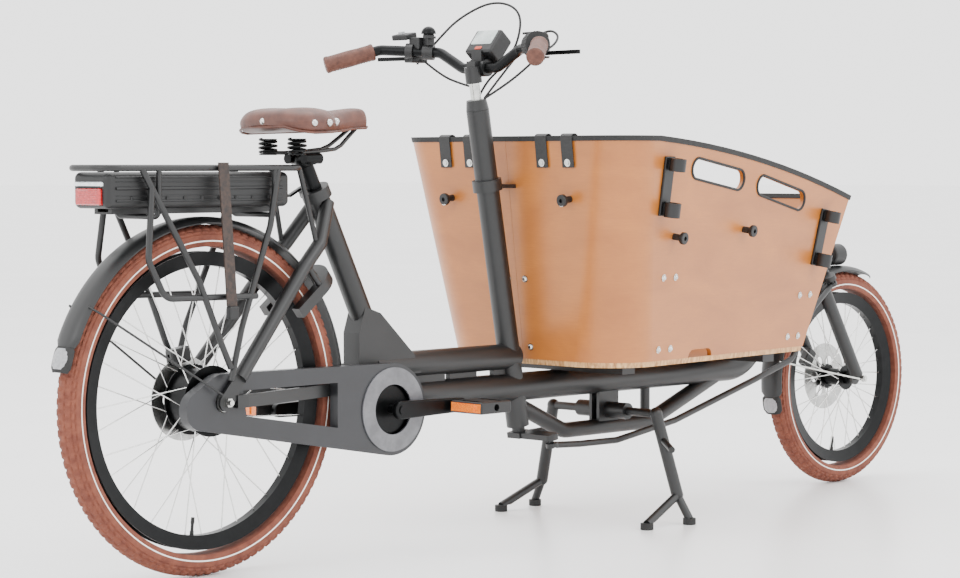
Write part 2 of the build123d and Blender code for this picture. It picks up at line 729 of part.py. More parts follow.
bearers = []
bearer_bottom = main_tube_z + main_tube_r
for x in (1000, 1480):
    rail_bar = Pos(x, 0, (bearer_bottom + box_floor_z) / 2) * Box(40, 400, box_floor_z - bearer_bottom)
    bearers.append(rail_bar)
grip_plate = Pos(825, 0, 729) * Box(90, 40, 8)
grip_plate = cope(grip_plate, column_outer, hull(0, 650, 800))
clamp_height = 508
clamp_wall = 7
clamp_ring = Cylinder(column_r + clamp_wall, 24, align=LOW) - Cylinder(column_r, 24, align=LOW)
clamp_ring = column * Pos(0, 0, clamp_height) * clamp_ring
grip_plate = cope(grip_plate, clamp_ring)
add("box_mounts", *bearers, grip_plate, clamp_ring)

bench_z = 600
bench_front = 1190
bench_half = side_y(1190, bench_z) - box_wall - 12
bench_back = rear_x(bench_z) + box_wall + 18
bench = Pos((bench_back + bench_front) / 2, 0, bench_z) * Box(bench_front - bench_back, 2 * bench_half, 12)
bench = bench & hull(box_wall + 8, 560, 640)
bench_pin = bar((bench_back + 8, -bench_half + 50, bench_z + 12), (bench_back + 8, bench_half - 50, bench_z + 12), 6)
add("bench_board", bench + bench_pin)

# ---------------------------------------------------------------- steering column, bar and controls

arm_bottom = -24
arm_top = -12
quill_top = 770
collar_low = column_length + part_gap
steerer = Pos(0, 0, arm_bottom) * Cylinder(steerer_r, collar_low + collar_height - arm_bottom, align=LOW)
steerer += Pos(0, 0, collar_low) * Cylinder(quill_r, quill_top - collar_low, align=LOW)
collar = Pos(0, 0, collar_low) * Cone(column_r, column_r - 3, collar_height, align=LOW)
collar -= Pos(0, 0, column_length) * Cylinder(steerer_r, 40, align=LOW)
collar = column * collar
bar_r = 11
bar_centre = (757, 0, 975)
stem_clamp = bar((757, -22, 975), (757, 22, 975), 18, bar_r)
stem_top = column * Pos(0, 0, quill_top - 34) * Cylinder(17, 34, align=LOW)
stem_top = stem_top - bar((757, -30, 975), (757, 30, 975), 18)
neck = slab(outline((728, 950), (728, 988), (752, 990), (752, 958)), -12, 12)
neck = neck - bar((757, -30, 975), (757, 30, 975), 18)
stem = column * steerer + stem_top + neck
stem = stem - bar((757, -30, 975), (757, 30, 975), 18)
arm_face = Rectangle(36, 36) + Pos(0, -steer_arm / 2) * Rectangle(30, steer_arm) + Pos(0, -steer_arm) * Circle(15)
arm_plate = Pos(0, 0, arm_bottom) * extrude(arm_face, arm_top - arm_bottom)
arm_plate -= Pos(0, 0, arm_bottom) * Cylinder(steerer_r, 60, align=LOW)
ball_height = arm_bottom - ball_drop
rear_stud = Pos(0, -steer_arm, ball_height) * (Sphere(ball_r) + Cylinder(stud_r, ball_drop, align=LOW))
add("steering_stem", stem, collar, stem_clamp, column * arm_plate, column * rear_stud)

bar_points = [
    (600, -handlebar_half, 985), (690, -230, 1017), (755, -115, 1010), (757, -50, 975),
    (757, 50, 975), (755, 115, 1010), (690, 230, 1017), (600, handlebar_half, 985)]
add("handlebar", bent(bar_points, bar_r, 28, bar_r - 2))
grip_start = Vector(690, -230, 1017)
grip_end = Vector(600, -handlebar_half, 985)
grip_dir = (grip_end - grip_start).normalized()
grip = bar(grip_start + grip_dir * 14, grip_end + grip_dir * 4, 18.5)
grip = fillet(grip.edges(), 4) - bar(grip_start, grip_end, bar_r)
add("grips", *both(grip))

bend_point = Vector(755, -115, 1010)
run = (grip_start - bend_point).normalized()
run_length = (grip_start - bend_point).length
drum_start = bend_point + run * (run_length - 44)
drum_end = bend_point + run * (run_length - 14)
drum = bar(drum_start, drum_end, 26, bar_r + running_gap)
add("shift_drum", drum)


clamp_mid = bend_point + run * (run_length - 66)
lever_clamp = bar(clamp_mid - run * 8, clamp_mid + run * 8, 17, bar_r)
clamp_solid = bar(clamp_mid - run * 8, clamp_mid + run * 8, 17)
lever_pivot = (754, -182, 1000)
lever_body = Pos(743, -176, 1003) * block(48, 24, 26, 3)
lever_body -= Pos(lever_pivot[0], lever_pivot[1] - 12, lever_pivot[2]) * Box(26, 40, 11)
lever_body -= clamp_solid
lever_body -= bar(bend_point, grip_start, bar_r)
lever_pin = Pos(*lever_pivot) * Cylinder(2.5, 26)
lever_body -= lever_pin
blade_face = belt(lever_pivot[0], lever_pivot[1], 7, 742, -285, 5)
blade = extrude(Pos(0, 0, lever_pivot[2] - 4) * blade_face, 8)
blade -= Pos(*lever_pivot) * Cylinder(2.5 + running_gap, 40)
add("brake_lever_right", blade)
add("brake_lever_left", mirror(blade, about=Plane.XZ))

remote = Pos(728, 196, 1046) * Rot(0, -12, 0) * block(34, 44, 12, 3)
remote_clamp_ends = ((748, 127, 1010.5), (737, 147, 1011.4))
remote_clamp = bar(*remote_clamp_ends, 16, bar_r)
remote_clamp_solid = bar(*remote_clamp_ends, 16)
remote_leg = Pos(728, 160, 1030) * block(16, 30, 26, 3)
button_place = Pos(724, 200, 1052) * Rot(0, -12, 0)
remote -= button_place * Cylinder(7 + running_gap, 20)
bell_at = (742, 137)
bell_z = 1050
bell_r = 16
bell_base = Pos(*bell_at, bell_z - 13) * block(20, 18, 26, 3)
bell_dome = Pos(*bell_at, bell_z) * (Sphere(bell_r) & Cylinder(30, 40, align=LOW))
handle_solid = bent(bar_points, bar_r + part_gap / 10, 28)
lever_body = lever_body - handle_solid
lever_clamp = lever_clamp - handle_solid
remote_clamp = remote_clamp - handle_solid
remote_leg = cope(remote_leg, handle_solid, remote_clamp_solid, mirror(clamp_solid, about=Plane.XZ))
remote = remote - remote_leg
bell_base = cope(bell_base, handle_solid, remote_clamp_solid, remote_leg)
add("bar_controls", *both(lever_clamp), *both(lever_body), *both(lever_pin), remote, remote_clamp, remote_leg,
    bell_base, bell_dome)
add("remote_button", button_place * Cylinder(7, 8))
bell_pivot = (bell_at[0], bell_at[1] - 13.5, bell_z - 8)
thumb = Pos(*bell_pivot) * Cylinder(4, 5)
thumb += Pos(bell_at[0] - 12, bell_at[1] - 16, bell_z - 8) * Box(30, 6, 5)
add("bell_thumb", thumb)

display_tilt = 50
display = Pos(781, 0, 1019.5) * Rot(0, -display_tilt, 0) * block(62, 74, 42, 6)
display_foot = slab(outline((745, 986), (745, 1012), (782, 984), (776, 972)), -14, 14) - display
display_foot = cope(display_foot, bar((757, -30, 975), (757, 30, 975), 18), handle_solid, neck)
add("display", display, display_foot)

hose_r = 2.5


def hose_entry(turn):
    """A point on the collar's top where a hose goes down into the column."""
    reach = steerer_r + 1 + hose_r + part_gap
    height = column_length + collar_height + 2 * part_gap + hose_r
    point = column.from_local_coords(Vector(reach * cos(radians(turn)), reach * sin(radians(turn)), height))
    return (point.X, point.Y, point.Z)


def hose(points):
    """A cord in straight runs joined by arcs as large as the runs on each side allow."""
    runs = [Vector(*b) - Vector(*a) for a, b in zip(points, points[1:])]
    bends = []
    for before, after in zip(runs, runs[1:]):
        half_turn = radians(before.get_angle(after) / 2)
        bends.append(0.45 * min(before.length, after.length) / tan(half_turn))
    path = FilletPolyline(*points, radius=bends)
    return sweep(Plane(origin=path @ 0, z_dir=path % 0) * Circle(hose_r), path=path)


hose_routes = (
    ((752, 161, 1004), (776, 142, 1040), (810, 111, 1087), (842, 40, 1122), (852, -30, 1098),
     (836, -34, 1026), (804, -14, 975), (782, 8, 946), hose_entry(32)),
    ((752, -161, 1004), (800, -154, 1008), (858, -134, 1040), (866, -92, 1058), (838, -50, 1020),
     (803, -22, 965), hose_entry(-32)),
    ((722, -154, 1040), (775, -165, 1046), (818, -138, 1035), (838, -95, 1002), (818, -50, 960),
     (785, -29, 932), hose_entry(-72)),
    ((748, 160.5, 996), (780, 136, 962), (800, 92, 944), (796, 52, 936), (776, 30, 930), hose_entry(72)),
)
hoses = [hose(points) for points in hose_routes]
add("control_hoses", *hoses)

# ---------------------------------------------------------------- fork, front fender, lamp and steering rod

leg_y = 62
leg_r = 16
crown_low = front_fender_r + 13
crown_top = head_tube_start - part_gap
legs = [fork_frame * Pos(0, side * leg_y, 8) * Cylinder(leg_r, crown_low + 6, align=LOW) for side in (-1, 1)]
crown = fork_frame * Pos(0, 0, (crown_low + crown_top) / 2) * block(44, 2 * leg_y + 40, crown_top - crown_low, 8)
crown += fork_frame * Pos(0, 0, crown_low + 5) * Cylinder(steerer_r, head_tube_length + 55, align=LOW)
lug_low = crown_low + 8
lug_face = Pos(0, -(leg_y + fork_arm) / 2) * Rectangle(26, fork_arm - leg_y) + Pos(0, -fork_arm) * Circle(14)
lug = fork_frame * Pos(0, 0, lug_low) * extrude(lug_face, lug_thickness)
crown += lug
front_ball_s = lug_low - ball_drop
front_stud = Pos(0, -fork_arm, front_ball_s) * (Sphere(front_ball_r) + Cylinder(stud_r, ball_drop + 1, align=LOW))
crown += fork_frame * front_stud
dropout_plates = []
for side in (-1, 1):
    plate = slab(Pos(wheelbase, front_tyre_r) * Circle(16), side * 54 - 3, side * 54 + 3)
    dropout_plates.append(plate)
fork = crown + legs[0] + legs[1]
fork = fork - Pos(wheelbase, 0, front_tyre_r) * Box(60, 101, 60)
for plate in dropout_plates:
    fork = fork + plate
fork = fork - disc(wheelbase, front_tyre_r, axle_r, -120, 120)
front_axle = disc(wheelbase, front_tyre_r, axle_r, -86, 86)
cap = fork_frame * Pos(0, 0, head_tube_start + head_tube_length + part_gap)
cap_ring = cap * (Cylinder(head_tube_r - 2, 8, align=LOW) - Cylinder(steerer_r, 8, align=LOW))
fork_nuts = [slab(Pos(wheelbase, front_tyre_r) * (RegularPolygon(9, 6) - Circle(axle_r)), y, y + 7) for y in (-85, 78)]
front_caliper = caliper(wheelbase, front_tyre_r, 145, front_rotor_y)
add("fork", fork, front_axle, cap_ring, *fork_nuts, front_caliper)

front_blade = fender(wheelbase, front_tyre_r, front_fender_r, 66, 186, fender_width - 2)
front_flap = fender(wheelbase, front_tyre_r, front_fender_r, 186, 196, flap_width - 2)
tab = fork_frame * Pos(0, 0, (front_fender_r + 3 + crown_low) / 2) * Box(20, 24, crown_low - front_fender_r + 6)
tab = cope(tab, fork, front_blade)
stay_tip = radians(168)
front_stay = bar((wheelbase - 6, -80, front_tyre_r), (wheelbase + (front_fender_r - 2) * cos(stay_tip), -stay_tip_y - 6,
                 front_tyre_r + (front_fender_r - 2) * sin(stay_tip)), 2.5)
front_stay = cope(front_stay, fork, front_blade, front_axle, *fork_nuts)
add("front_fender", front_blade, front_flap, tab, *both(front_stay))
lamp_at = (wheelbase - 14, 0, front_tyre_r + 299)
lamp = Pos(*lamp_at) * Rot(0, 90, 0) * Cylinder(lamp_r, lamp_length)
lamp = fillet(lamp.edges(), 6)
lamp_arm = bar((lamp_at[0] - 128, 0, lamp_at[2] - 16), (lamp_at[0] - 16, 0, lamp_at[2] - 4), 5)
lamp_arm = cope(lamp_arm, fork, lamp, front_blade)
add("headlight", lamp, lamp_arm)

rear_point = column.from_local_coords(Vector(0, -steer_arm, ball_height))
front_point = fork_frame.from_local_coords(Vector(0, -fork_arm, front_ball_s))
eye_height = 9
open_eye_height = 8
# The rod's hinge leans to the side by as much as the fork's arm climbs more than the column's over the rod.
climb = fork_arm * sin(radians(fork_tilt)) - steer_arm * sin(radians(column_tilt))
rod_lean = climb / (front_point.X - rear_point.X)
rod_axis = column_up + Vector(0, rod_lean, 0)
rear_eye = Plane(origin=rear_point, x_dir=column.x_dir, z_dir=rod_axis)
front_eye = Plane(origin=front_point, x_dir=fork_frame.x_dir, z_dir=fork_up)
rear_eye_r = ball_r + rod_wall + part_gap
front_eye_r = front_ball_r + open_pivot_gap + open_eye_wall
rod_eye = rear_eye * (Cylinder(rear_eye_r, eye_height) - Sphere(ball_r + running_gap))
open_eye = front_eye * (Cylinder(front_eye_r, open_eye_height) - Cylinder(front_ball_r + open_pivot_gap, open_eye_height))
rod_side = steer_arm + 1
rod_swell = 10
rod_path = (
    (rear_point.X, rear_point.Y, rear_point.Z), (965, -rod_side, rear_point.Z - 4),
    (1085, -rod_side - 1, rear_point.Z - 5), (1280, -rod_side - 3, 209),
    (wheelbase - 459, -rod_side - 6, 281), (wheelbase - 318, -rod_side - rod_swell, 322),
    (wheelbase - 241, -rod_side - rod_swell - 2, 438), (front_point.X, front_point.Y, front_point.Z))
rod_bar = bent(rod_path, rod_r, 40)
rod_bar = cope(rod_bar, rear_eye * Cylinder(rear_eye_r, 40), front_eye * Cylinder(front_eye_r, 40))
add("steering_rod", rod_bar, rod_eye, open_eye)

# ---------------------------------------------------------------- stand

leg_foot = (stand_pivot[0] + 15, -198, 62)
leg_top = (stand_pivot[0], -stand_half, stand_pivot[1])
leg_pivot_left = (stand_pivot[0], stand_half, stand_pivot[1])
shaft = bar((stand_pivot[0], -stand_half, stand_pivot[1]), leg_pivot_left, stand_shaft_r)
leg = bar(leg_top, leg_foot, stand_leg_r)
leg += Pos(*leg_top) * Sphere(stand_leg_r + 1)
leg += Pos(*leg_foot) * Sphere(stand_leg_r)
front_foot_at = (1172, -226)
rear_foot_at = (1046, -213)
prong_front = bar(leg_foot, (front_foot_at[0], front_foot_at[1], foot_height - 2), 9)
prong_rear = bar(leg_foot, (rear_foot_at[0], rear_foot_at[1], foot_height - 2), 9)
floor_cut = Pos(1150, 0, 0) * Box(600, 700, 2 * foot_height)
leg = leg + prong_front + prong_rear - floor_cut
foot_tab = bar((1152, -168, 180), (1110, -228, 166), 7)
leg = leg + foot_tab
stand = shaft + leg + mirror(leg, about=Plane.XZ)
add("stand_frame", stand)
pad = fillet(Cylinder(foot_r, foot_height, align=LOW).edges().group_by(Axis.Z)[0], 2)
feet = []
for x, y in (front_foot_at, rear_foot_at):
    for side in (-1, 1):
        feet.append(Pos(x, side * y, 0) * pad)
add("stand_feet", *feet)

# ---------------------------------------------------------------- saddle

post_top = (saddle_clamp_height - seat_top[1]) / cos(radians(seat_tilt))
post_depth = 170
post = seat_plane * Pos(0, 0, -post_depth) * Cylinder(seat_post_r, post_depth + post_top, align=LOW)
clamp_x = seat_top[0] - post_top * sin(radians(seat_tilt))
clamp_head = Pos(clamp_x, 0, saddle_clamp_height) * block(44, 58, 24, 5)
rail_z = saddle_clamp_height + 14
spring_x = clamp_x - 55
spring_y = 42
spring_height = 32
rails = []
for side in (-1, 1):
    rail_points = (
        (clamp_x + 136, side * 8, rail_z + 53), (clamp_x + 70, side * 20, rail_z + 9),
        (clamp_x - 30, side * 24, rail_z), (spring_x - 17, side * (spring_y - 2), rail_z))
    rails.append(bent(rail_points, 4, 30))
springs = []
for side in (-1, 1):
    coil = Cylinder(19, spring_height, align=LOW) - Cylinder(13, spring_height, align=LOW)
    springs.append(cope(Pos(spring_x, side * spring_y, rail_z - 5) * coil, *rails))
clamp_head = cope(clamp_head, *rails, post)
add("seat_post", post, clamp_head, *rails, *springs)
saddle_z = rail_z + 28
saddle_height = 62
saddle_rear = Pos(clamp_x - 54, 0) * Ellipse(54, 106)
saddle_nose = Pos(clamp_x + 130, 0) * Circle(26)
saddle_face = make_hull(saddle_rear.edges() + saddle_nose.edges())
saddle = extrude(Pos(0, 0, saddle_z) * saddle_face, saddle_height)
saddle = fillet(saddle.edges().group_by(Axis.Z)[-1], 18)
add("saddle", cope(saddle, *rails, *springs))

lever_x = 32
lever_axle_r = 3
ear = seat_plane * Pos(lever_x, 0, -11) * (Box(16, 16, 14) - Cylinder(lever_axle_r + running_gap, 30)) - seat_collar
lever = Pos(lever_x, 0, -4) * Cylinder(lever_axle_r, 18) + Pos(lever_x, 18, 3) * Box(9, 44, 5)
nodes["seat_tube"] += seat_collar.solids() + ear.solids()
add("seat_clamp_lever", seat_plane * lever)

# ---------------------------------------------------------------- place on the floor's centre and write

whole = Compound([solid for solids in nodes.values() for solid in solids])
box = whole.bounding_box()
shift = Location((-(box.min.X + box.max.X) / 2, 0, 0))
os.makedirs("parts", exist_ok=True)
for name, solids in nodes.items():
    export_step(Compound(solids).moved(shift), f"parts/{name}.step")
print("nodes", len(nodes), "shift", shift.position, "size", box.size, "z", box.min.Z)
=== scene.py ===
import bpy
import json
import bmesh
from math import cos, pi, radians, sin, sqrt
from mathutils import Matrix, Vector


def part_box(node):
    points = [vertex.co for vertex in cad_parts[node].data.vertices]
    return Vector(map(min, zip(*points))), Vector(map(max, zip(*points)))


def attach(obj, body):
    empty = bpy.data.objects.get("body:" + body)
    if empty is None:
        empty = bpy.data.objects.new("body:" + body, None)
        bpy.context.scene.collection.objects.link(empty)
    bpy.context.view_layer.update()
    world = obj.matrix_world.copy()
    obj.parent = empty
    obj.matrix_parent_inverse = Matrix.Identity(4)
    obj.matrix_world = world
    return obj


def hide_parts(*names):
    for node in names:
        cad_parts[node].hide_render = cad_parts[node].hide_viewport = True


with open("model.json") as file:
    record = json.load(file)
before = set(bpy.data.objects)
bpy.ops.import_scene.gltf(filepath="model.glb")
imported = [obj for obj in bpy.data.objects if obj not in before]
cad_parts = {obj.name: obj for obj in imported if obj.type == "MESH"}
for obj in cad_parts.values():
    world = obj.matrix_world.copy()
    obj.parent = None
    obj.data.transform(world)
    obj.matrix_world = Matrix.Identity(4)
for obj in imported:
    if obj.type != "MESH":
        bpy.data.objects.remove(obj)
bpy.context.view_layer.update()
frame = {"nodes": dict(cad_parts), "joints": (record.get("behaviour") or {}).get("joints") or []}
nodes = frame["nodes"]
joints = {joint["name"]: joint for joint in frame["joints"]}


# ---------------------------------------------------------------- camera, floor and light
# The bicycle stands on a white studio floor and is seen from behind on its right side, a little above the
# saddle-lamp line, through a long lens that keeps both wheels near their true shape.

camera_data = bpy.data.cameras.new("studio_camera")
camera_data.lens = 97.09
camera_data.sensor_width = 36
camera_data.clip_end = 200
camera = bpy.data.objects.new("studio_camera", camera_data)
camera.location = (-4.107, -3.7443, 0.7724)
camera.rotation_euler = (radians(90 - 2.731), 0, radians(-46.144))
bpy.context.collection.objects.link(camera)
bpy.context.scene.camera = camera


def linear(colour):
    """An sRGB hex colour as linear RGBA."""
    parts = [int(colour[i:i + 2], 16) / 255 for i in (1, 3, 5)]
    return [p / 12.92 if p <= 0.04045 else ((p + 0.055) / 1.055) ** 2.4 for p in parts] + [1]


def put(tree, kind, settings=None, links=None):
    """Add a node; links give an input a value, or join it to another node's output."""
    node = tree.nodes.new(kind)
    for key, value in (settings or {}).items():
        setattr(node, key, value)
    for key, value in (links or {}).items():
        if isinstance(value, bpy.types.NodeSocket):
            tree.links.new(value, node.inputs[key])
        else:
            node.inputs[key].default_value = value
    return node


def new_material(name, colour, roughness, metallic=0.0, **shader):
    """A material with its shader set; further keyword names are the shader's own inputs."""
    material = bpy.data.materials.new(name)
    material.use_nodes = True
    surface = material.node_tree.nodes["Principled BSDF"]
    surface.inputs["Base Color"].default_value = linear(colour)
    surface.inputs["Roughness"].default_value = roughness
    surface.inputs["Metallic"].default_value = metallic
    for key, value in shader.items():
        surface.inputs[key.replace("_", " ")].default_value = value
    material.diffuse_color = linear(colour)
    return material, material.node_tree, surface


def mottle(tree, surface, dark, light, size_mm, low=0.35, high=0.65, stretch=(1, 1, 1)):
    """Colour that drifts between two tones in patches of about size_mm."""
    place = put(tree, "ShaderNodeTexCoord")
    scaled = put(tree, "ShaderNodeMapping", links={"Vector": place.outputs["Object"], "Scale": stretch})
    noise = put(tree, "ShaderNodeTexNoise", links={
        "Vector": scaled.outputs["Vector"], "Scale": 1000 / size_mm, "Detail": 5.0, "Roughness": 0.6})
    ramp = put(tree, "ShaderNodeMapRange", links={
        "Value": noise.outputs["Fac"], "From Min": low, "From Max": high})
    mix = put(tree, "ShaderNodeMix", {"data_type": "RGBA"}, {"Factor": ramp.outputs["Result"]})
    mix.inputs[6].default_value = linear(dark)
    mix.inputs[7].default_value = linear(light)
    tree.links.new(mix.outputs[2], surface.inputs["Base Color"])


def grain_bump(tree, surface, size_mm, depth_mm, detail=3.0):
    """Fine relief of about size_mm across and depth_mm deep."""
    place = put(tree, "ShaderNodeTexCoord")
    noise = put(tree, "ShaderNodeTexNoise", links={
        "Vector": place.outputs["Object"], "Scale": 1000 / size_mm, "Detail": detail})
    bump = put(tree, "ShaderNodeBump", links={
        "Height": noise.outputs["Fac"], "Strength": 1.0, "Distance": depth_mm / 1000})
    tree.links.new(bump.outputs["Normal"], surface.inputs["Normal"])


floor_material, tree, surface = new_material("white_studio_floor", "#f6f6f6", 0.32)
mottle(tree, surface, "#f3f3f3", "#f8f8f8", 900)
bpy.ops.mesh.primitive_plane_add(size=160)
floor = bpy.context.object
floor.name = "studio_floor"
floor.data.materials.append(floor_material)

world = bpy.data.worlds.new("studio_world")
world.use_nodes = True
world.node_tree.nodes["Background"].inputs["Color"].default_value = (1, 1, 1, 1)
world.node_tree.nodes["Background"].inputs["Strength"].default_value = 2.6
bpy.context.scene.world = world


def softbox(name, place, aim, size, power):
    data = bpy.data.lights.new(name, "AREA")
    data.shape = "RECTANGLE"
    data.size = size[0]
    data.size_y = size[1]
    data.energy = power
    light = bpy.data.objects.new(name, data)
    light.location = place
    direction = Vector(aim) - Vector(place)
    light.rotation_euler = direction.to_track_quat("-Z", "Y").to_euler()
    bpy.context.collection.objects.link(light)


softbox("key_softbox", (1.2, -5.0, 4.2), (0, 0, 0.5), (3.0, 2.0), 120)
softbox("rear_softbox", (-5.5, -0.5, 3.0), (0, 0, 0.6), (2.0, 2.0), 60)
softbox("top_softbox", (0.2, 0.6, 4.5), (0, 0, 0), (4.0, 2.0), 110)


# ---------------------------------------------------------------- finishes shared by the metal frame
# The frame, fork and carrier are welded aluminium and steel tube, powder coated satin black: a fine
# orange-peel skin with soft highlights and slightly greyer, duller patches.

powder_coat, tree, surface = new_material(
    "powder_coated_tube", "#0d0e0f", 0.45, Coat_Weight=0.12, Coat_Roughness=0.3)
mottle(tree, surface, "#0a0b0c", "#101112", 60)
grain_bump(tree, surface, 1.6, 0.03)

black_anodised, tree, surface = new_material("black_anodised_aluminium", "#0f1011", 0.34, 0.75)
mottle(tree, surface, "#0d0e0f", "#131415", 25)
grain_bump(tree, surface, 0.8, 0.012)

bright_steel, tree, surface = new_material("zinc_plated_steel", "#c9c9c6", 0.22, 1.0)
mottle(tree, surface, "#bdbdba", "#d6d6d2", 12)

black_abs, tree, surface = new_material("moulded_black_abs", "#0c0c0d", 0.48)
mottle(tree, surface, "#0a0a0b", "#0f1011", 20)
grain_bump(tree, surface, 0.9, 0.035)

black_rubber, tree, surface = new_material("black_moulded_rubber", "#171717", 0.72)
mottle(tree, surface, "#131313", "#1e1e1e", 10)
grain_bump(tree, surface, 1.2, 0.06)


def paint(node, *materials, pick=None):
    """Give a CAD node its finish; pick chooses a slot from each face's own middle."""
    mesh = nodes[node].data
    mesh.materials.clear()
    for material in materials:
        mesh.materials.append(material)
    if pick:
        for face in mesh.polygons:
            face.material_index = pick(face.center)
    for face in mesh.polygons:
        face.use_smooth = True
    if not mesh.has_custom_normals:
        mesh.set_sharp_from_angle(angle=radians(32))


for name in ("seat_tube", "seat_stays", "centre_beam", "column_tube", "main_tube", "head_tube", "lower_truss",
             "box_mounts", "steering_rod", "ring_lock"):
    paint(name, powder_coat)

rear_axle = Vector(joints["rear_wheel_spin"]["pos_m"])
front_axle = Vector(joints["front_wheel_spin"]["pos_m"])


def radius_from(point, axle):
    return sqrt((point.x - axle.x) ** 2 + (point.z - axle.z) ** 2)


paint("chain_stays", powder_coat, bright_steel,
      pick=lambda p: 1 if abs(p.y) > 0.0737 and radius_from(p, rear_axle) < 0.012 else 0)
paint("fork", powder_coat, bright_steel,
      pick=lambda p: 1 if abs(p.y) > 0.0779 and radius_from(p, front_axle) < 0.012 else 0)
paint("stand_frame", powder_coat)
paint("stand_feet", black_rubber)
paint("rear_rack", powder_coat)


# ---------------------------------------------------------------- plywood box
# The load box is bent and flat birch plywood, stained honey brown and varnished. The varnish gives a soft
# sheen over fine grain that runs along the panels, with broad pale and dark drifts from the veneer.

plywood, tree, surface = new_material(
    "varnished_birch_plywood", "#ba7230", 0.42, Coat_Weight=0.35, Coat_Roughness=0.3)
place = put(tree, "ShaderNodeTexCoord")
broad_map = put(tree, "ShaderNodeMapping", links={
    "Vector": place.outputs["Object"], "Scale": (3.0, 3.0, 6.5)})
broad = put(tree, "ShaderNodeTexNoise", links={
    "Vector": broad_map.outputs["Vector"], "Scale": 1.6, "Detail": 5.0, "Roughness": 0.6, "Distortion": 0.5})
# fibre streaks about 2 mm apart and ten times as long
fibre_map = put(tree, "ShaderNodeMapping", links={"Vector": place.outputs["Object"], "Scale": (30, 30, 420)})
fibre = put(tree, "ShaderNodeTexNoise", links={
    "Vector": fibre_map.outputs["Vector"], "Scale": 1.0, "Detail": 4.0, "Roughness": 0.65, "Distortion": 0.3})
tone = put(tree, "ShaderNodeMapRange", links={
    "Value": broad.outputs["Fac"], "From Min": 0.3, "From Max": 0.7})
veneer = put(tree, "ShaderNodeMix", {"data_type": "RGBA"}, {"Factor": tone.outputs["Result"]})
veneer.inputs[6].default_value = linear("#a05c20")
veneer.inputs[7].default_value = linear("#b9712c")
streak = put(tree, "ShaderNodeMapRange", links={
    "Value": fibre.outputs["Fac"], "From Min": 0.3, "From Max": 0.7, "To Min": 0.0, "To Max": 0.38})
wood = put(tree, "ShaderNodeMix", {"data_type": "RGBA"}, {"Factor": streak.outputs["Result"]})
tree.links.new(veneer.outputs[2], wood.inputs[6])
wood.inputs[7].default_value = linear("#9a5722")
tree.links.new(wood.outputs[2], surface.inputs["Base Color"])
relief = put(tree, "ShaderNodeBump", links={
    "Height": fibre.outputs["Fac"], "Strength": 0.5, "Distance": 0.00015})
tree.links.new(relief.outputs["Normal"], surface.inputs["Normal"])

# cut edges show the plies: pale and dark veneers about 2 mm thick, under the same varnish
ply_edge, tree, surface = new_material("plywood_edge_plies", "#c99a66", 0.5)
mottle(tree, surface, "#9a6a3a", "#d9ad78", 6, stretch=(1, 1, 0.3))

for name in ("box_side_right", "box_side_left", "box_rear_panels", "box_front_panel", "bench_board"):
    paint(name, plywood)
floor_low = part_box("box_floor")[0].z
floor_sheet = 0.0115
paint("box_floor", plywood, ply_edge,
      pick=lambda p: 1 if 0.001 < p.z - floor_low < floor_sheet - 0.001 else 0)

# The rim carries a pushed-on U strip of black rubber.
paint("box_rim_trim", black_rubber)


# ---------------------------------------------------------------- box fittings
# Tent-pole brackets are moulded nylon. Knobs are black nylon on steel studs, and the panels are held by
# zinc-plated dome-head bolts, which are the small bright dots on the sides.

paint("tent_brackets", black_abs)


# Places below count from the rear axle, forward along X, and shift_x brings them into the frame.
wheelbase = 2.014
shift_x = front_axle.x - wheelbase
knob_places = [(shift_x + x, z) for x, z in ((1.306, 0.634), (1.04, 0.624), (0.84, 0.703))]
knob_reach = 0.024


def is_bolt(point):
    """1 for a face of a bolt head, 0 for a face of a knob or its boss."""
    for knob_x, knob_z in knob_places:
        if (point.x - knob_x) ** 2 + (point.z - knob_z) ** 2 < knob_reach ** 2:
            return 0
    return 1


paint("box_hardware", black_abs, bright_steel, pick=is_bolt)


def solid(name, bm, material, body, replaced=()):
    """Turn a bmesh into a piece that rides a body."""
    bmesh.ops.recalc_face_normals(bm, faces=bm.faces)
    mesh = bpy.data.meshes.new(name)
    bm.to_mesh(mesh)
    bm.free()
    piece = bpy.data.objects.new(name, mesh)
    bpy.context.collection.objects.link(piece)
    for item in (material if isinstance(material, (list, tuple)) else [material]):
        mesh.materials.append(item)
    for face in mesh.polygons:
        face.use_smooth = True
    mesh.set_sharp_from_angle(angle=radians(38))
    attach(piece, body)
    if replaced:
        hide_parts(*replaced)
    return piece


def ring_loft(bm, rings, closed_ends=True, closed_loop=False):
    """Skin rings of points, each a list of the same length, into a surface."""
    made = [[bm.verts.new(point) for point in ring] for ring in rings]
    count = len(made[0])
    spans = len(made) if closed_loop else len(made) - 1
    faces = []
    for i in range(spans):
        a = made[i]
        b = made[(i + 1) % len(made)]
        for j in range(count):
            k = (j + 1) % count
            faces.append((bm.faces.new((a[j], a[k], b[k], b[j])), j))
    if closed_ends and not closed_loop:
        bm.faces.new(made[0])
        bm.faces.new(list(reversed(made[-1])))
    return faces


def tube(bm, points, radius, sides=12, closed=False):
    """A round bar that follows a list of points, with its ends closed."""
    points = [Vector(p) for p in points]
    rings = []
    normal = None
    total = len(points)
    for i, point in enumerate(points):
        ahead = points[(i + 1) % total] if closed or i < total - 1 else point
        behind = points[i - 1] if closed or i > 0 else point
        along = (ahead - behind).normalized()
        if normal is None:
            normal = along.orthogonal().normalized()
        normal = (normal - along * normal.dot(along)).normalized()
        across = along.cross(normal)
        r = radius(i / (total - 1)) if callable(radius) else radius
        rings.append([point + (normal * cos(2 * pi * j / sides) + across * sin(2 * pi * j / sides)) * r
                      for j in range(sides)])
    ring_loft(bm, rings, closed_ends=not closed, closed_loop=closed)


# Each side leans: it closes in towards the front and opens out towards the rim.
box_half_width = 0.255
side_taper = 0.098
side_flare = 0.141
box_bottom = 0.355


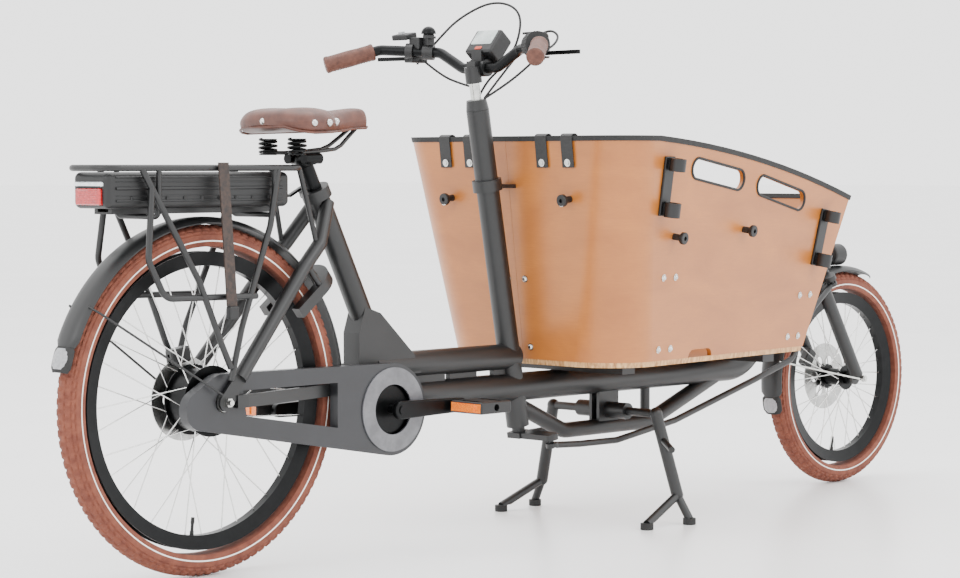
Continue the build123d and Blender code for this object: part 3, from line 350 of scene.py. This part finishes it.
def side_point(x, z, side, lift):
    """A point on the box's flat side, x forward of the rear axle, lifted off the surface."""
    half = box_half_width - side_taper * (x - 1.005) + side_flare * (z - box_bottom)
    outward = Vector((side_taper, side, -side_flare)).normalized()
    return Vector((x + shift_x, side * half, z)) + outward * lift


# Each hand hole is edged with the same black rubber strip as the rim.
hole_r = 0.022
hole_half_run = 0.0815
bm = bmesh.new()
for side in (-1, 1):
    for x, z, slope in ((1.182, 0.754, 8.5), (1.442, 0.712, 12)):
        loop = []
        for i in range(48):
            angle = 2 * pi * i / 48
            end = hole_half_run if cos(angle) >= 0 else -hole_half_run
            u = end + hole_r * cos(angle)
            v = hole_r * sin(angle)
            lean = radians(-slope)
            edge_x = x + u * cos(lean) - v * sin(lean)
            edge_z = z + u * sin(lean) + v * cos(lean)
            loop.append(side_point(edge_x, edge_z, side, 0.0005))
        tube(bm, loop, 0.0028, 8, closed=True)
solid("hand_hole_edging", bm, black_rubber, "frame")


# ---------------------------------------------------------------- belt straps
# Four flat nylon webbing straps hang over the rear rim to hold the children's belts. Each is folded over
# the rim, and a bright rivet with a washer holds it outside.

webbing, tree, surface = new_material("woven_nylon_webbing", "#141414", 0.8, Sheen_Weight=0.3)
place = put(tree, "ShaderNodeTexCoord")
# ribs of the weave are 1.6 mm apart, as coarse as they can be and still read as webbing
weave = put(tree, "ShaderNodeTexWave", {"wave_type": "BANDS", "bands_direction": "Z"}, {
    "Vector": place.outputs["Object"], "Scale": 100.0, "Distortion": 1.0, "Detail": 1.0})
bump = put(tree, "ShaderNodeBump", links={
    "Height": weave.outputs["Fac"], "Strength": 0.6, "Distance": 0.0004})
tree.links.new(bump.outputs["Normal"], surface.inputs["Normal"])
mottle(tree, surface, "#101010", "#1b1b1b", 4)

rim_z = 0.83
strap_half_width = 0.0155
rear_wall_lean = 0.124


def rear_wall_x(z):
    """Where the outside of the rear wall stands at a height."""
    return shift_x + 0.891 - (z - box_bottom) * rear_wall_lean


bm = bmesh.new()
rivets = bmesh.new()
for side in (-1, 1):
    for y in (0.104, 0.176):
        path = []
        for step in range(8):
            z = rim_z - 0.062 + 0.0085 * step
            path.append((rear_wall_x(z) - 0.0042, z))
        for step in range(1, 8):
            turn = pi - pi * step / 8
            fold_x = rear_wall_x(rim_z) + 0.0055 + 0.0098 * cos(turn)
            path.append((fold_x, rim_z + 0.001 + 0.0068 * sin(turn)))
        for step in range(10):
            z = rim_z - 0.012 * step
            path.append((rear_wall_x(z) + 0.0152 + 0.002 * sin(step), z))
        rings = []
        for i, (x, z) in enumerate(path):
            before = path[max(i - 1, 0)]
            after = path[min(i + 1, len(path) - 1)]
            along = Vector((after[0] - before[0], 0, after[1] - before[1])).normalized()
            out = Vector((along.z, 0, -along.x)) * 0.0009
            middle = Vector((x, side * y, z))
            edge = Vector((0, strap_half_width, 0))
            rings.append([middle + out - edge, middle + out + edge, middle - out + edge, middle - out - edge])
        ring_loft(bm, rings)
        z = rim_z - 0.052
        base = Vector((rear_wall_x(z) - 0.0051, side * y, z))
        for reach, r in ((0.0014, 0.008), (0.0034, 0.0045)):
            tube(rivets, [base, base + Vector((-reach, 0, -0.0002))], r, 20)
solid("belt_strap_webbing", bm, webbing, "frame", replaced=("belt_straps",))
solid("belt_strap_rivets", rivets, bright_steel, "frame")


# ---------------------------------------------------------------- tyres
# Balloon tyres in brown rubber, moulded with blocks on the tread and shoulders and smooth sidewalls. A
# white reflective stripe is bonded round each sidewall.

brown_rubber, tree, surface = new_material("brown_tyre_rubber", "#6e3826", 0.78)
mottle(tree, surface, "#633021", "#78412e", 18)
grain_bump(tree, surface, 1.0, 0.05)
reflex_stripe, tree, surface = new_material("white_reflective_stripe", "#efe9e2", 0.35)
mottle(tree, surface, "#e6dfd6", "#f7f3ee", 8)


def balloon_tyre(name, axle, outer_r, pitch_count, node, body):
    """A tyre whose section turns from bead to bead; tread blocks come in lanes and repeat round the wheel."""
    half = 0.027
    groove = 0.0026
    ring_r = outer_r - half
    steps = 44
    per_pitch = 6
    bead = 2.14
    profile = [-bead + 2 * bead * i / steps for i in range(steps + 1)]
    bm = bmesh.new()
    rings = []
    segments = pitch_count * per_pitch
    for s in range(segments):
        angle = 2 * pi * s / segments
        phase = s % per_pitch
        ring = []
        for i, turn in enumerate(profile):
            lane = abs(turn)
            raised = 0.0
            if lane < 0.32:
                raised = 1.0 if (phase + (1 if turn > 0 else 0) * 3) % per_pitch not in (0, 5) else 0.0
            elif 0.42 < lane < 0.78:
                raised = 1.0 if (phase + 2) % per_pitch not in (0, 5) else 0.0
            elif 0.88 < lane < 1.12:
                raised = 1.0 if phase not in (0, 5) else 0.0
            r = half - groove + groove * raised if lane < 1.2 else half - 0.0008
            out = ring_r + r * cos(turn)
            ring.append(axle + Vector((out * cos(angle), r * sin(turn), out * sin(angle))))
        rings.append(ring)
    faces = ring_loft(bm, rings, closed_loop=True)
    for face, lane_index in faces:
        turn = abs(profile[min(lane_index, steps - 1)] + bead / steps)
        face.material_index = 1 if 1.62 < turn < 1.78 else 0
    solid(name, bm, [brown_rubber, reflex_stripe], body, replaced=(node,))


balloon_tyre("rear_balloon_tyre", rear_axle, 0.331, 104, "rear_tyre", "rear_wheel")
balloon_tyre("front_balloon_tyre", front_axle, 0.257, 80, "front_tyre", "front_wheel")


# ---------------------------------------------------------------- wheels
# Deep rims and hub shells are black anodised aluminium. Spokes are bright stainless steel, and the brake
# discs are ground steel with a brushed face. The rear hub holds the gears, so it is as wide as a tin.

stainless, tree, surface = new_material("stainless_spoke_steel", "#d8d8d6", 0.2, 1.0)
mottle(tree, surface, "#cfcfcd", "#e0e0de", 9)
ground_steel, tree, surface = new_material("ground_disc_steel", "#b9b9b8", 0.3, 1.0)
mottle(tree, surface, "#a9a9a8", "#c8c8c6", 3)
for name in ("rear_rim", "front_rim"):
    paint(name, black_anodised)
for name in ("rear_spokes", "front_spokes"):
    paint(name, stainless)
disc_bore_r = 0.0165
for node, axle, disc_in, disc_out in (("rear_hub", rear_axle, 0.0495, 0.0522),
                                      ("front_hub", front_axle, 0.0365, 0.0392)):
    paint(node, black_anodised, ground_steel,
          pick=lambda p: 1 if disc_in < p.y < disc_out and radius_from(p, axle) > disc_bore_r else 0)

# Tyre valves are brass tubes with black dust caps, standing inward from the rim; here the whole valve is
# drawn in black rubber.
for name, axle, rim_in, body in (("rear_valve", rear_axle, 0.254, "rear_wheel"),
                                 ("front_valve", front_axle, 0.18, "front_wheel")):
    bm = bmesh.new()
    angle = radians(-96)
    out = Vector((cos(angle), 0, sin(angle)))
    profile = ((0.0, 0.004), (0.008, 0.004), (0.009, 0.003), (0.022, 0.003), (0.023, 0.0038), (0.034, 0.0034))
    points = [axle + out * (rim_in + 0.0005 - reach) for reach, r in profile]
    sizes = [r for reach, r in profile]
    tube(bm, points, lambda t, sizes=sizes: sizes[round(t * (len(sizes) - 1))], 14)
    solid(name, bm, black_rubber, body)


# ---------------------------------------------------------------- fenders
# Blades are rolled aluminium with a crowned section, painted satin black, each with a flap at its low end
# that carries a grey reflective panel. Thin steel stays hold them to the axles.

reflex_grey, tree, surface = new_material("grey_reflective_panel", "#97989b", 0.4)
mottle(tree, surface, "#8b8c8f", "#a4a5a8", 5)


def blade(bm, axle, radius, start, end, half_width, crown, thickness=0.0022):
    """A crowned strip round a wheel, narrowing to a rounded tip at each end."""
    count = max(int(abs(end - start) / 2), 6)
    rings = []
    for s in range(count + 1):
        t = s / count
        angle = radians(start + (end - start) * t)
        edge = min(t, 1 - t) * abs(end - start) / 3.0
        grow = sqrt(max(1 - (1 - min(edge, 1)) ** 2, 0.0)) if edge < 1 else 1.0
        width = half_width * (0.72 + 0.28 * grow)
        outer = []
        inner = []
        for k in range(13):
            u = -1 + 2 * k / 12
            drop = crown * u ** 4 + 0.35 * crown * u ** 2
            for bank, lift in ((outer, 0), (inner, -thickness)):
                r = radius - drop + lift
                bank.append(axle + Vector((r * cos(angle), u * width, r * sin(angle))))
        rings.append(outer + inner[::-1])
    ring_loft(bm, rings)


for which, axle, radius, start, end, tip, half_width, body, node in (
        ("rear", rear_axle, 0.346, 7, 160, 168, 0.031, "frame", "rear_fender"),
        ("front", front_axle, 0.272, 66, 187, 196, 0.030, "fork", "front_fender")):
    bm = bmesh.new()
    blade(bm, axle, radius, start, end, half_width, 0.008)
    solid(which + "_fender_blade", bm, powder_coat, body, replaced=(node,))
    bm = bmesh.new()
    blade(bm, axle, radius - 0.0005, end - 0.5, tip, half_width - 0.003, 0.006, 0.0028)
    solid(which + "_fender_flap", bm, black_rubber, body)
    bm = bmesh.new()
    blade(bm, axle, radius + 0.0004, end + 0.6, tip - 1.0, half_width - 0.009, 0.0035, 0.0012)
    solid(which + "_flap_reflector", bm, reflex_grey, body)
    bm = bmesh.new()
    reach = radians(146 if which == "rear" else 168)
    side_y = 0.079 if which == "rear" else 0.080
    tip_point = axle + Vector(((radius - 0.002) * cos(reach), 0, (radius - 0.002) * sin(reach)))
    for side in (-1, 1):
        start_point = axle + Vector((-0.016, side * side_y, 0.016 if which == "rear" else 0.0))
        end_point = tip_point + Vector((0, side * (half_width - 0.003), -0.004))
        middle = start_point.lerp(end_point, 0.93) + Vector((0, side * 0.004, 0))
        tube(bm, [start_point, middle, end_point], 0.0023, 10)
    stay_finish = bright_steel if which == "front" else powder_coat
    solid(which + "_fender_stays", bm, stay_finish, body)
bm = bmesh.new()
up = Vector(joints["fork_steer"]["axis"]).normalized()
tube(bm, [front_axle + up * 0.2705, front_axle + up * 0.287], 0.011, 16)
solid("front_fender_boss", bm, powder_coat, "fork")


# ---------------------------------------------------------------- drive
# The motor is a cast housing under the seat tube. The chain runs in a slate-grey ABS case with an open
# window, and a smoked translucent ring frames the crank's spider.

slate_abs, tree, surface = new_material(
    "slate_grey_abs_case", "#1a1b1e", 0.42, Coat_Weight=0.12, Coat_Roughness=0.3)
mottle(tree, surface, "#17181b", "#1e1f23", 120)
grain_bump(tree, surface, 0.8, 0.02)
smoked_ring, tree, surface = new_material(
    "smoked_ring_polycarbonate", "#58585c", 0.3, Coat_Weight=0.5, Coat_Roughness=0.15)
mottle(tree, surface, "#4d4d51", "#626266", 30)
case_outer_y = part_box("chain_case")[0].y + 0.003
paint("chain_case", slate_abs, smoked_ring, pick=lambda p: 1 if p.y < case_outer_y - 0.0002 else 0)
paint("motor_unit", black_abs)
paint("drive_chain", ground_steel)
paint("rear_sprocket", ground_steel)
paint("crank_set", black_anodised)

orange_reflector, tree, surface = new_material(
    "amber_reflector_acrylic", "#f07a1c", 0.2, Coat_Weight=0.6, Coat_Roughness=0.05)
mottle(tree, surface, "#e0670e", "#ff8d2e", 2.5)
for name in ("pedal_right", "pedal_left"):
    low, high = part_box(name)
    paint(name, black_abs, orange_reflector,
          pick=lambda p, low=low, high=high: 1 if p.x < low.x + 0.0031 or p.x > high.x - 0.0031 else 0)


# ---------------------------------------------------------------- battery and rear lamp
# The battery is a long black ABS case that slides under the carrier. Its sides carry moulded cooling ribs,
# and its tail holds the red rear lamp under a bright strip.

paint("battery", black_abs)
low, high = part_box("battery")
bm = bmesh.new()
for side in (-1, 1):
    for z, r in ((0.0195, 0.0026), (0.0285, 0.0016), (0.042, 0.0034), (0.0535, 0.0016), (0.062, 0.0022)):
        ends = [(x, side * 0.0502, low.z + z) for x in (low.x + 0.02, high.x - 0.02)]
        tube(bm, ends, r, 10)
    for i in range(9):
        x = low.x + 0.055 + (high.x - low.x - 0.11) * i / 8
        tube(bm, [(x, side * 0.0504, low.z + 0.02), (x, side * 0.0504, low.z + 0.0265)], 0.0035, 8)
solid("battery_ribs", bm, black_abs, "battery")


def rounded_plate(bm, place, width, depth, height, corner):
    """A plate with rounded corners; its own X is depth, Y width and Z height."""
    rings = []
    for z, inset in ((0, 0), (height * 0.7, 0), (height, height * 0.4)):
        ring = []
        for cx, cy, start in ((1, 1, 0), (-1, 1, 90), (-1, -1, 180), (1, -1, 270)):
            for step in range(6):
                a = radians(start + 18 * step)
                ring.append(place @ Vector((
                    cx * (depth / 2 - corner) + (corner - inset) * cos(a),
                    cy * (width / 2 - corner) + (corner - inset) * sin(a), z)))
        rings.append(ring)
    ring_loft(bm, rings)


clear_lens, tree, surface = new_material(
    "clear_lamp_lens", "#dfe4e6", 0.08, Coat_Weight=0.9, Coat_Roughness=0.03)
mottle(tree, surface, "#cfd6d9", "#eef2f4", 6)
red_lens, tree, surface = new_material(
    "red_acrylic_lens", "#b3141a", 0.18, Coat_Weight=0.8, Coat_Roughness=0.05)
mottle(tree, surface, "#99080f", "#cc2a2a", 5)
paint("tail_light", red_lens)
low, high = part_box("tail_light")
bm = bmesh.new()
for i in range(8):
    z = low.z + 0.004 + 0.0031 * i
    tube(bm, [(low.x + 0.0002, low.y + 0.006, z), (low.x + 0.0002, high.y - 0.006, z)], 0.0009, 6)
solid("tail_light_flutes", bm, red_lens, "battery")
bm = bmesh.new()
for y in (low.y + 0.001, high.y - 0.001):
    tube(bm, [(low.x + 0.006, y, high.z + 0.0045), (low.x + 0.003, y, high.z + 0.011)], 0.0024, 8)
rounded_plate(bm, Matrix.Translation((low.x + 0.0075, 0, high.z + 0.0045)), 0.080, 0.014, 0.0075, 0.003)
solid("tail_light_clear_strip", bm, clear_lens, "battery")


# ---------------------------------------------------------------- carrier strap
# A flat rubber strap is stretched down from the carrier, with a black moulded hook block at its end.

strap_rubber, tree, surface = new_material("brown_black_strap_rubber", "#2a1f1b", 0.66)
mottle(tree, surface, "#1c1614", "#3a2a22", 8)
block_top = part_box("rack_strap")[0].z + 0.0245
paint("rack_strap", strap_rubber, black_abs, pick=lambda p: 1 if p.z < block_top else 0)


# ---------------------------------------------------------------- saddle
# A wide sprung saddle in brown leather, moulded over a base and pinned round its edge with bright dome
# rivets. It stands on two coil springs and black steel rails.

leather, tree, surface = new_material(
    "brown_saddle_leather", "#522a1c", 0.5, Coat_Weight=0.12, Coat_Roughness=0.4)
mottle(tree, surface, "#472216", "#5e3324", 22)
grain_bump(tree, surface, 1.8, 0.12, 4.0)

low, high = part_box("saddle")
saddle_run = 0.2675
bm = bmesh.new()
# stations: distance from the tail, half width, crown height below the top, depth of the skirt
stations = (
    (0.000, 0.038, 0.021, 0.018), (0.004, 0.062, 0.014, 0.028), (0.014, 0.083, 0.008, 0.040),
    (0.030, 0.097, 0.004, 0.048), (0.050, 0.104, 0.002, 0.052), (0.072, 0.105, 0.001, 0.052),
    (0.095, 0.098, 0.002, 0.050), (0.118, 0.083, 0.004, 0.047), (0.140, 0.064, 0.006, 0.044),
    (0.162, 0.049, 0.007, 0.042), (0.186, 0.039, 0.006, 0.041), (0.212, 0.033, 0.003, 0.041),
    (0.238, 0.0305, 0.0005, 0.042), (0.254, 0.028, 0.001, 0.041), (0.2635, 0.021, 0.005, 0.034),
    (saddle_run, 0.011, 0.011, 0.022))


def saddle_x(reach):
    """A station's place, with the last one half a millimetre inside the nose."""
    return low.x + 0.0005 + reach * (high.x - low.x - 0.001) / saddle_run


rings = []
for reach, wide, drop, skirt in stations:
    x = saddle_x(reach)
    top = high.z - drop
    shoulder = min(0.020, skirt * 0.5)
    channel = 0.0035 if 0.02 < reach < 0.2 else 0.0
    section = ((0.0, channel), (0.34, 0.0008), (0.62, 0.002), (0.84, 0.008), (0.97, shoulder),
               (1.0, skirt * 0.62), (0.95, skirt * 0.92), (0.86, skirt), (0.6, skirt * 0.93),
               (0.0, skirt * 0.88))
    right = [Vector((x, -wide * across, top - down)) for across, down in section]
    left = [Vector((x, wide * across, top - down)) for across, down in section[1:-1]]
    rings.append(right + left[::-1])
ring_loft(bm, rings)
saddle = solid("leather_saddle", bm, leather, "saddle", replaced=("saddle",))
round_off = saddle.modifiers.new("rounding", "SUBSURF")
round_off.levels = 2
round_off.render_levels = 2

# rivets stand round the skirt: one at the tail and five along each flank
bm = bmesh.new()
flank = ((0.010, 0.036, 0.029), (0.0215, 0.068, 0.034), (0.047, 0.098, 0.034), (0.084, 0.100, 0.033),
         (0.128, 0.0715, 0.030))
rivet_places = [(reach, side * y, drop) for side in (-1, 1) for reach, y, drop in flank]
for reach, y, drop in rivet_places + [(0.0045, 0, 0.030)]:
    base = Matrix.Translation((low.x + reach, y, high.z - drop))
    bmesh.ops.create_uvsphere(bm, u_segments=18, v_segments=10, radius=0.0072, matrix=base)
solid("saddle_rivets", bm, bright_steel, "saddle")
# the piping that closes the lower edge
bm = bmesh.new()
edge = [Vector((saddle_x(r), s * w * 0.955, high.z - d - k * 0.97))
        for s, rows in ((-1, stations[1:-1]), (1, stations[-2:0:-1])) for r, w, d, k in rows]
tube(bm, edge, 0.0026, 8, closed=True)
solid("saddle_piping", bm, leather, "saddle")

# Below the leather: post, clamp, rails and the two coil springs.
seat_axis = Vector(joints["saddle_height"]["axis"]).normalized()
clamp = Vector((shift_x + 0.2605, 0, 0.783))
bm = bmesh.new()
tube(bm, [clamp - seat_axis * 0.231, clamp - seat_axis * 0.008], 0.015, 32)
solid("seat_post_tube", bm, black_anodised, "saddle", replaced=("seat_post",))
bm = bmesh.new()
for side in (-1, 1):
    tube(bm, [clamp + Vector((x, side * 0.024, 0.003)) for x in (-0.021, 0.021)], 0.0105, 20)
tube(bm, [clamp + Vector((0, -0.031, 0)), clamp + Vector((0, 0.031, 0))], 0.009, 20)
bmesh.ops.create_uvsphere(bm, u_segments=24, v_segments=14, radius=0.019, matrix=Matrix.Translation(clamp))
solid("seat_clamp", bm, black_anodised, "saddle")
bm = bmesh.new()
for side in (-1, 1):
    rail = [(0.392, 0.009, 0.846), (0.368, 0.0125, 0.829), (0.344, 0.017, 0.812), (0.325, 0.0202, 0.8045),
            (0.28, 0.022, 0.800), (0.232, 0.024, 0.797), (0.206, 0.034, 0.797), (0.188, 0.040, 0.797)]
    tube(bm, [(shift_x + x, side * y, z) for x, y, z in rail], 0.004, 12)
solid("saddle_rails", bm, powder_coat, "saddle")
spring_x = shift_x + 0.2055
spring_y = 0.042
turns = 3.5
steps = int(turns * 24)
bm = bmesh.new()
for side in (-1, 1):
    coil = []
    for i in range(steps + 1):
        a = 2 * pi * i / 24
        swell = 0.0156 + 0.0012 * sin(pi * i / steps)
        coil.append((spring_x + swell * cos(a), side * spring_y + swell * sin(a), 0.7955 + 0.028 * i / steps))
    tube(bm, coil, 0.0026, 10)
    for z in (0.7925, 0.8215):
        tube(bm, [(spring_x, side * spring_y, z), (spring_x, side * spring_y, z + 0.0025)], 0.0175, 24)
solid("saddle_springs", bm, black_anodised, "saddle")
paint("seat_clamp_lever", black_anodised)


# ---------------------------------------------------------------- handlebar and grips
# A swept aluminium bar on a quill stem. The grips are leather-look foam, brown, with a stitched seam and a
# closed end.

paint("steering_stem", powder_coat, bright_steel,
      pick=lambda p: 1 if 0.911 < p.z < 0.946 and abs(p.y) < 0.0112 and p.x < shift_x + 0.765 else 0)
paint("handlebar", black_anodised)
grip_leather, tree, surface = new_material("stitched_grip_leather", "#552e20", 0.58)
mottle(tree, surface, "#492518", "#63392a", 14)
grain_bump(tree, surface, 1.4, 0.12, 4.0)
bm = bmesh.new()
thread = bmesh.new()
for side in (-1, 1):
    bend = Vector((shift_x + 0.690, side * 0.230, 1.017))
    tip = Vector((shift_x + 0.600, side * 0.300, 0.985))
    along = (tip - bend).normalized()
    start = bend + along * 0.0145
    reach = (tip - bend).length + 0.004 - 0.0145
    marks = [(0.0, 0.0165), (0.002, 0.0180), (0.006, 0.0182), (0.009, 0.0172), (0.03, 0.0170),
             (0.055, 0.0178), (0.08, 0.0172), (0.093, 0.0172), (0.0965, 0.0182), (0.101, 0.0180),
             (0.1035, 0.0150)]
    scale = reach / 0.1036
    points = [start + along * (d * scale) for d, r in marks]
    sizes = [r for d, r in marks]
    tube(bm, points, lambda t, sizes=sizes: sizes[round(t * (len(sizes) - 1))], 32)
    under = Vector((0, 0, -1)) - along * along.dot(Vector((0, 0, -1)))
    under.normalize()
    for i in range(14):
        centre = start + along * (0.014 + 0.0058 * i) + under * 0.0172
        slant = along.cross(under).normalized() * 0.003 + along * 0.001
        tube(thread, [centre - slant, centre + under * 0.0005, centre + slant], 0.0005, 6)
solid("leather_grips", bm, grip_leather, "steering", replaced=("grips",))
solid("grip_stitching", thread, webbing, "steering")
paint("shift_drum", black_rubber)
for name in ("brake_lever_right", "brake_lever_left"):
    paint(name, black_anodised)
bell_top = 1.0499
paint("bar_controls", black_abs, black_anodised,
      pick=lambda p: 1 if p.z > bell_top and p.y < 0.156 else 0)
paint("bell_thumb", black_abs)
light_grey_pad, tree, surface = new_material("light_grey_keypad", "#a9abad", 0.5)
mottle(tree, surface, "#9c9ea0", "#b5b7b9", 6)
paint("remote_button", light_grey_pad)
paint("headlight", black_abs)

# The shifter drum has grip ribs all round.
drum_r = 0.0255
bm = bmesh.new()
axis = Vector(joints["shift_twist"]["axis"]).normalized()
base = Vector(joints["shift_twist"]["pos_m"])
normal = axis.orthogonal().normalized()
across = axis.cross(normal)
for i in range(24):
    a = 2 * pi * i / 24
    out = (normal * cos(a) + across * sin(a)) * drum_r
    tube(bm, [base + axis * 0.003 + out, base + axis * 0.027 + out], 0.0013, 6)
solid("shift_drum_ribs", bm, black_rubber, "shift_drum")


# ---------------------------------------------------------------- display and lamps
# The display is a black case with a pale screen, tilted towards the rider. The lamp is a black body with a
# chromed ring and a clear lens, on the front of the fork.

paint("display", black_abs)
screen_glass, tree, surface = new_material(
    "grey_screen_glass", "#aeb8b6", 0.12, Coat_Weight=0.8, Coat_Roughness=0.03)
mottle(tree, surface, "#a4afad", "#b8c2c0", 12)
button_orange, tree, surface = new_material("orange_rubber_button", "#b8432c", 0.5)
mottle(tree, surface, "#a83922", "#c65238", 5)

tilt = Matrix.Translation((shift_x + 0.781, 0, 1.0195)) @ Matrix.Rotation(radians(-50), 4, "Y")
bm = bmesh.new()
rounded_plate(bm, tilt @ Matrix.Translation((0.008, 0, 0.0208)), 0.058, 0.038, 0.0012, 0.004)
solid("display_screen", bm, screen_glass, "steering")
bm = bmesh.new()
rounded_plate(bm, tilt @ Matrix.Translation((-0.0215, 0, 0.0208)), 0.019, 0.008, 0.0016, 0.003)
solid("display_button", bm, button_orange, "steering")

chrome, tree, surface = new_material("chrome_plated_ring", "#dcdcdc", 0.08, 1.0)
mottle(tree, surface, "#d4d4d4", "#e4e4e4", 20)
low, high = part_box("headlight")
lamp_mid = Vector((high.x, 0, 0.556))
bm = bmesh.new()
ring_r = 0.0235
turns = [2 * pi * i / 40 for i in range(40)]
circle = [lamp_mid + Vector((-0.003, ring_r * cos(a), ring_r * sin(a))) for a in turns]
tube(bm, circle, 0.0022, 10, closed=True)
solid("headlight_ring", bm, chrome, "fork")
bm = bmesh.new()
rings = []
turns = [2 * pi * i / 32 for i in range(32)]
for r, x in ((0.0215, -0.004), (0.0215, -0.0016), (0.017, -0.0006), (0.010, 0.0002), (0.002, 0.0006)):
    rings.append([lamp_mid + Vector((x, r * cos(a), r * sin(a))) for a in turns])
ring_loft(bm, rings)
solid("headlight_lens", bm, clear_lens, "fork")


# ---------------------------------------------------------------- hoses
# Two brake hoses, the shift cable and the display lead run in loops from the bar into the top of the
# column, each a 5 mm black sheath. They are held at both ends and turn with the bar.

hose_routes = (
    ((0.752, 0.161, 1.004), (0.776, 0.142, 1.040), (0.810, 0.111, 1.087), (0.842, 0.040, 1.122),
     (0.852, -0.030, 1.098), (0.836, -0.034, 1.026), (0.804, -0.014, 0.975), (0.782, 0.008, 0.946),
     (0.7607, 0.0095, 0.9130)),
    ((0.752, -0.161, 1.004), (0.800, -0.154, 1.008), (0.858, -0.134, 1.040), (0.866, -0.092, 1.058),
     (0.838, -0.050, 1.020), (0.803, -0.022, 0.965), (0.7607, -0.0095, 0.9130)),
    ((0.722, -0.154, 1.040), (0.775, -0.165, 1.046), (0.818, -0.138, 1.035), (0.838, -0.095, 1.002),
     (0.818, -0.050, 0.960), (0.785, -0.029, 0.932), (0.7510, -0.0171, 0.9110)),
    ((0.748, 0.1605, 0.996), (0.780, 0.136, 0.962), (0.800, 0.092, 0.944), (0.796, 0.052, 0.936),
     (0.776, 0.030, 0.930), (0.7510, 0.0171, 0.9110)),
)
curve = bpy.data.curves.new("bar_hoses", "CURVE")
curve.dimensions = "3D"
curve.bevel_depth = 0.0025
curve.bevel_resolution = 4
curve.use_fill_caps = True
for route in hose_routes:
    spline = curve.splines.new("NURBS")
    spline.points.add(len(route) - 1)
    for point, (x, y, z) in zip(spline.points, route):
        point.co = (x + shift_x, y, z, 1)
    spline.order_u = 3
    spline.use_endpoint_u = True
    spline.resolution_u = 12
hoses = bpy.data.objects.new("bar_hoses", curve)
bpy.context.collection.objects.link(hoses)
curve.materials.append(black_rubber)
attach(hoses, "steering")
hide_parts("control_hoses")
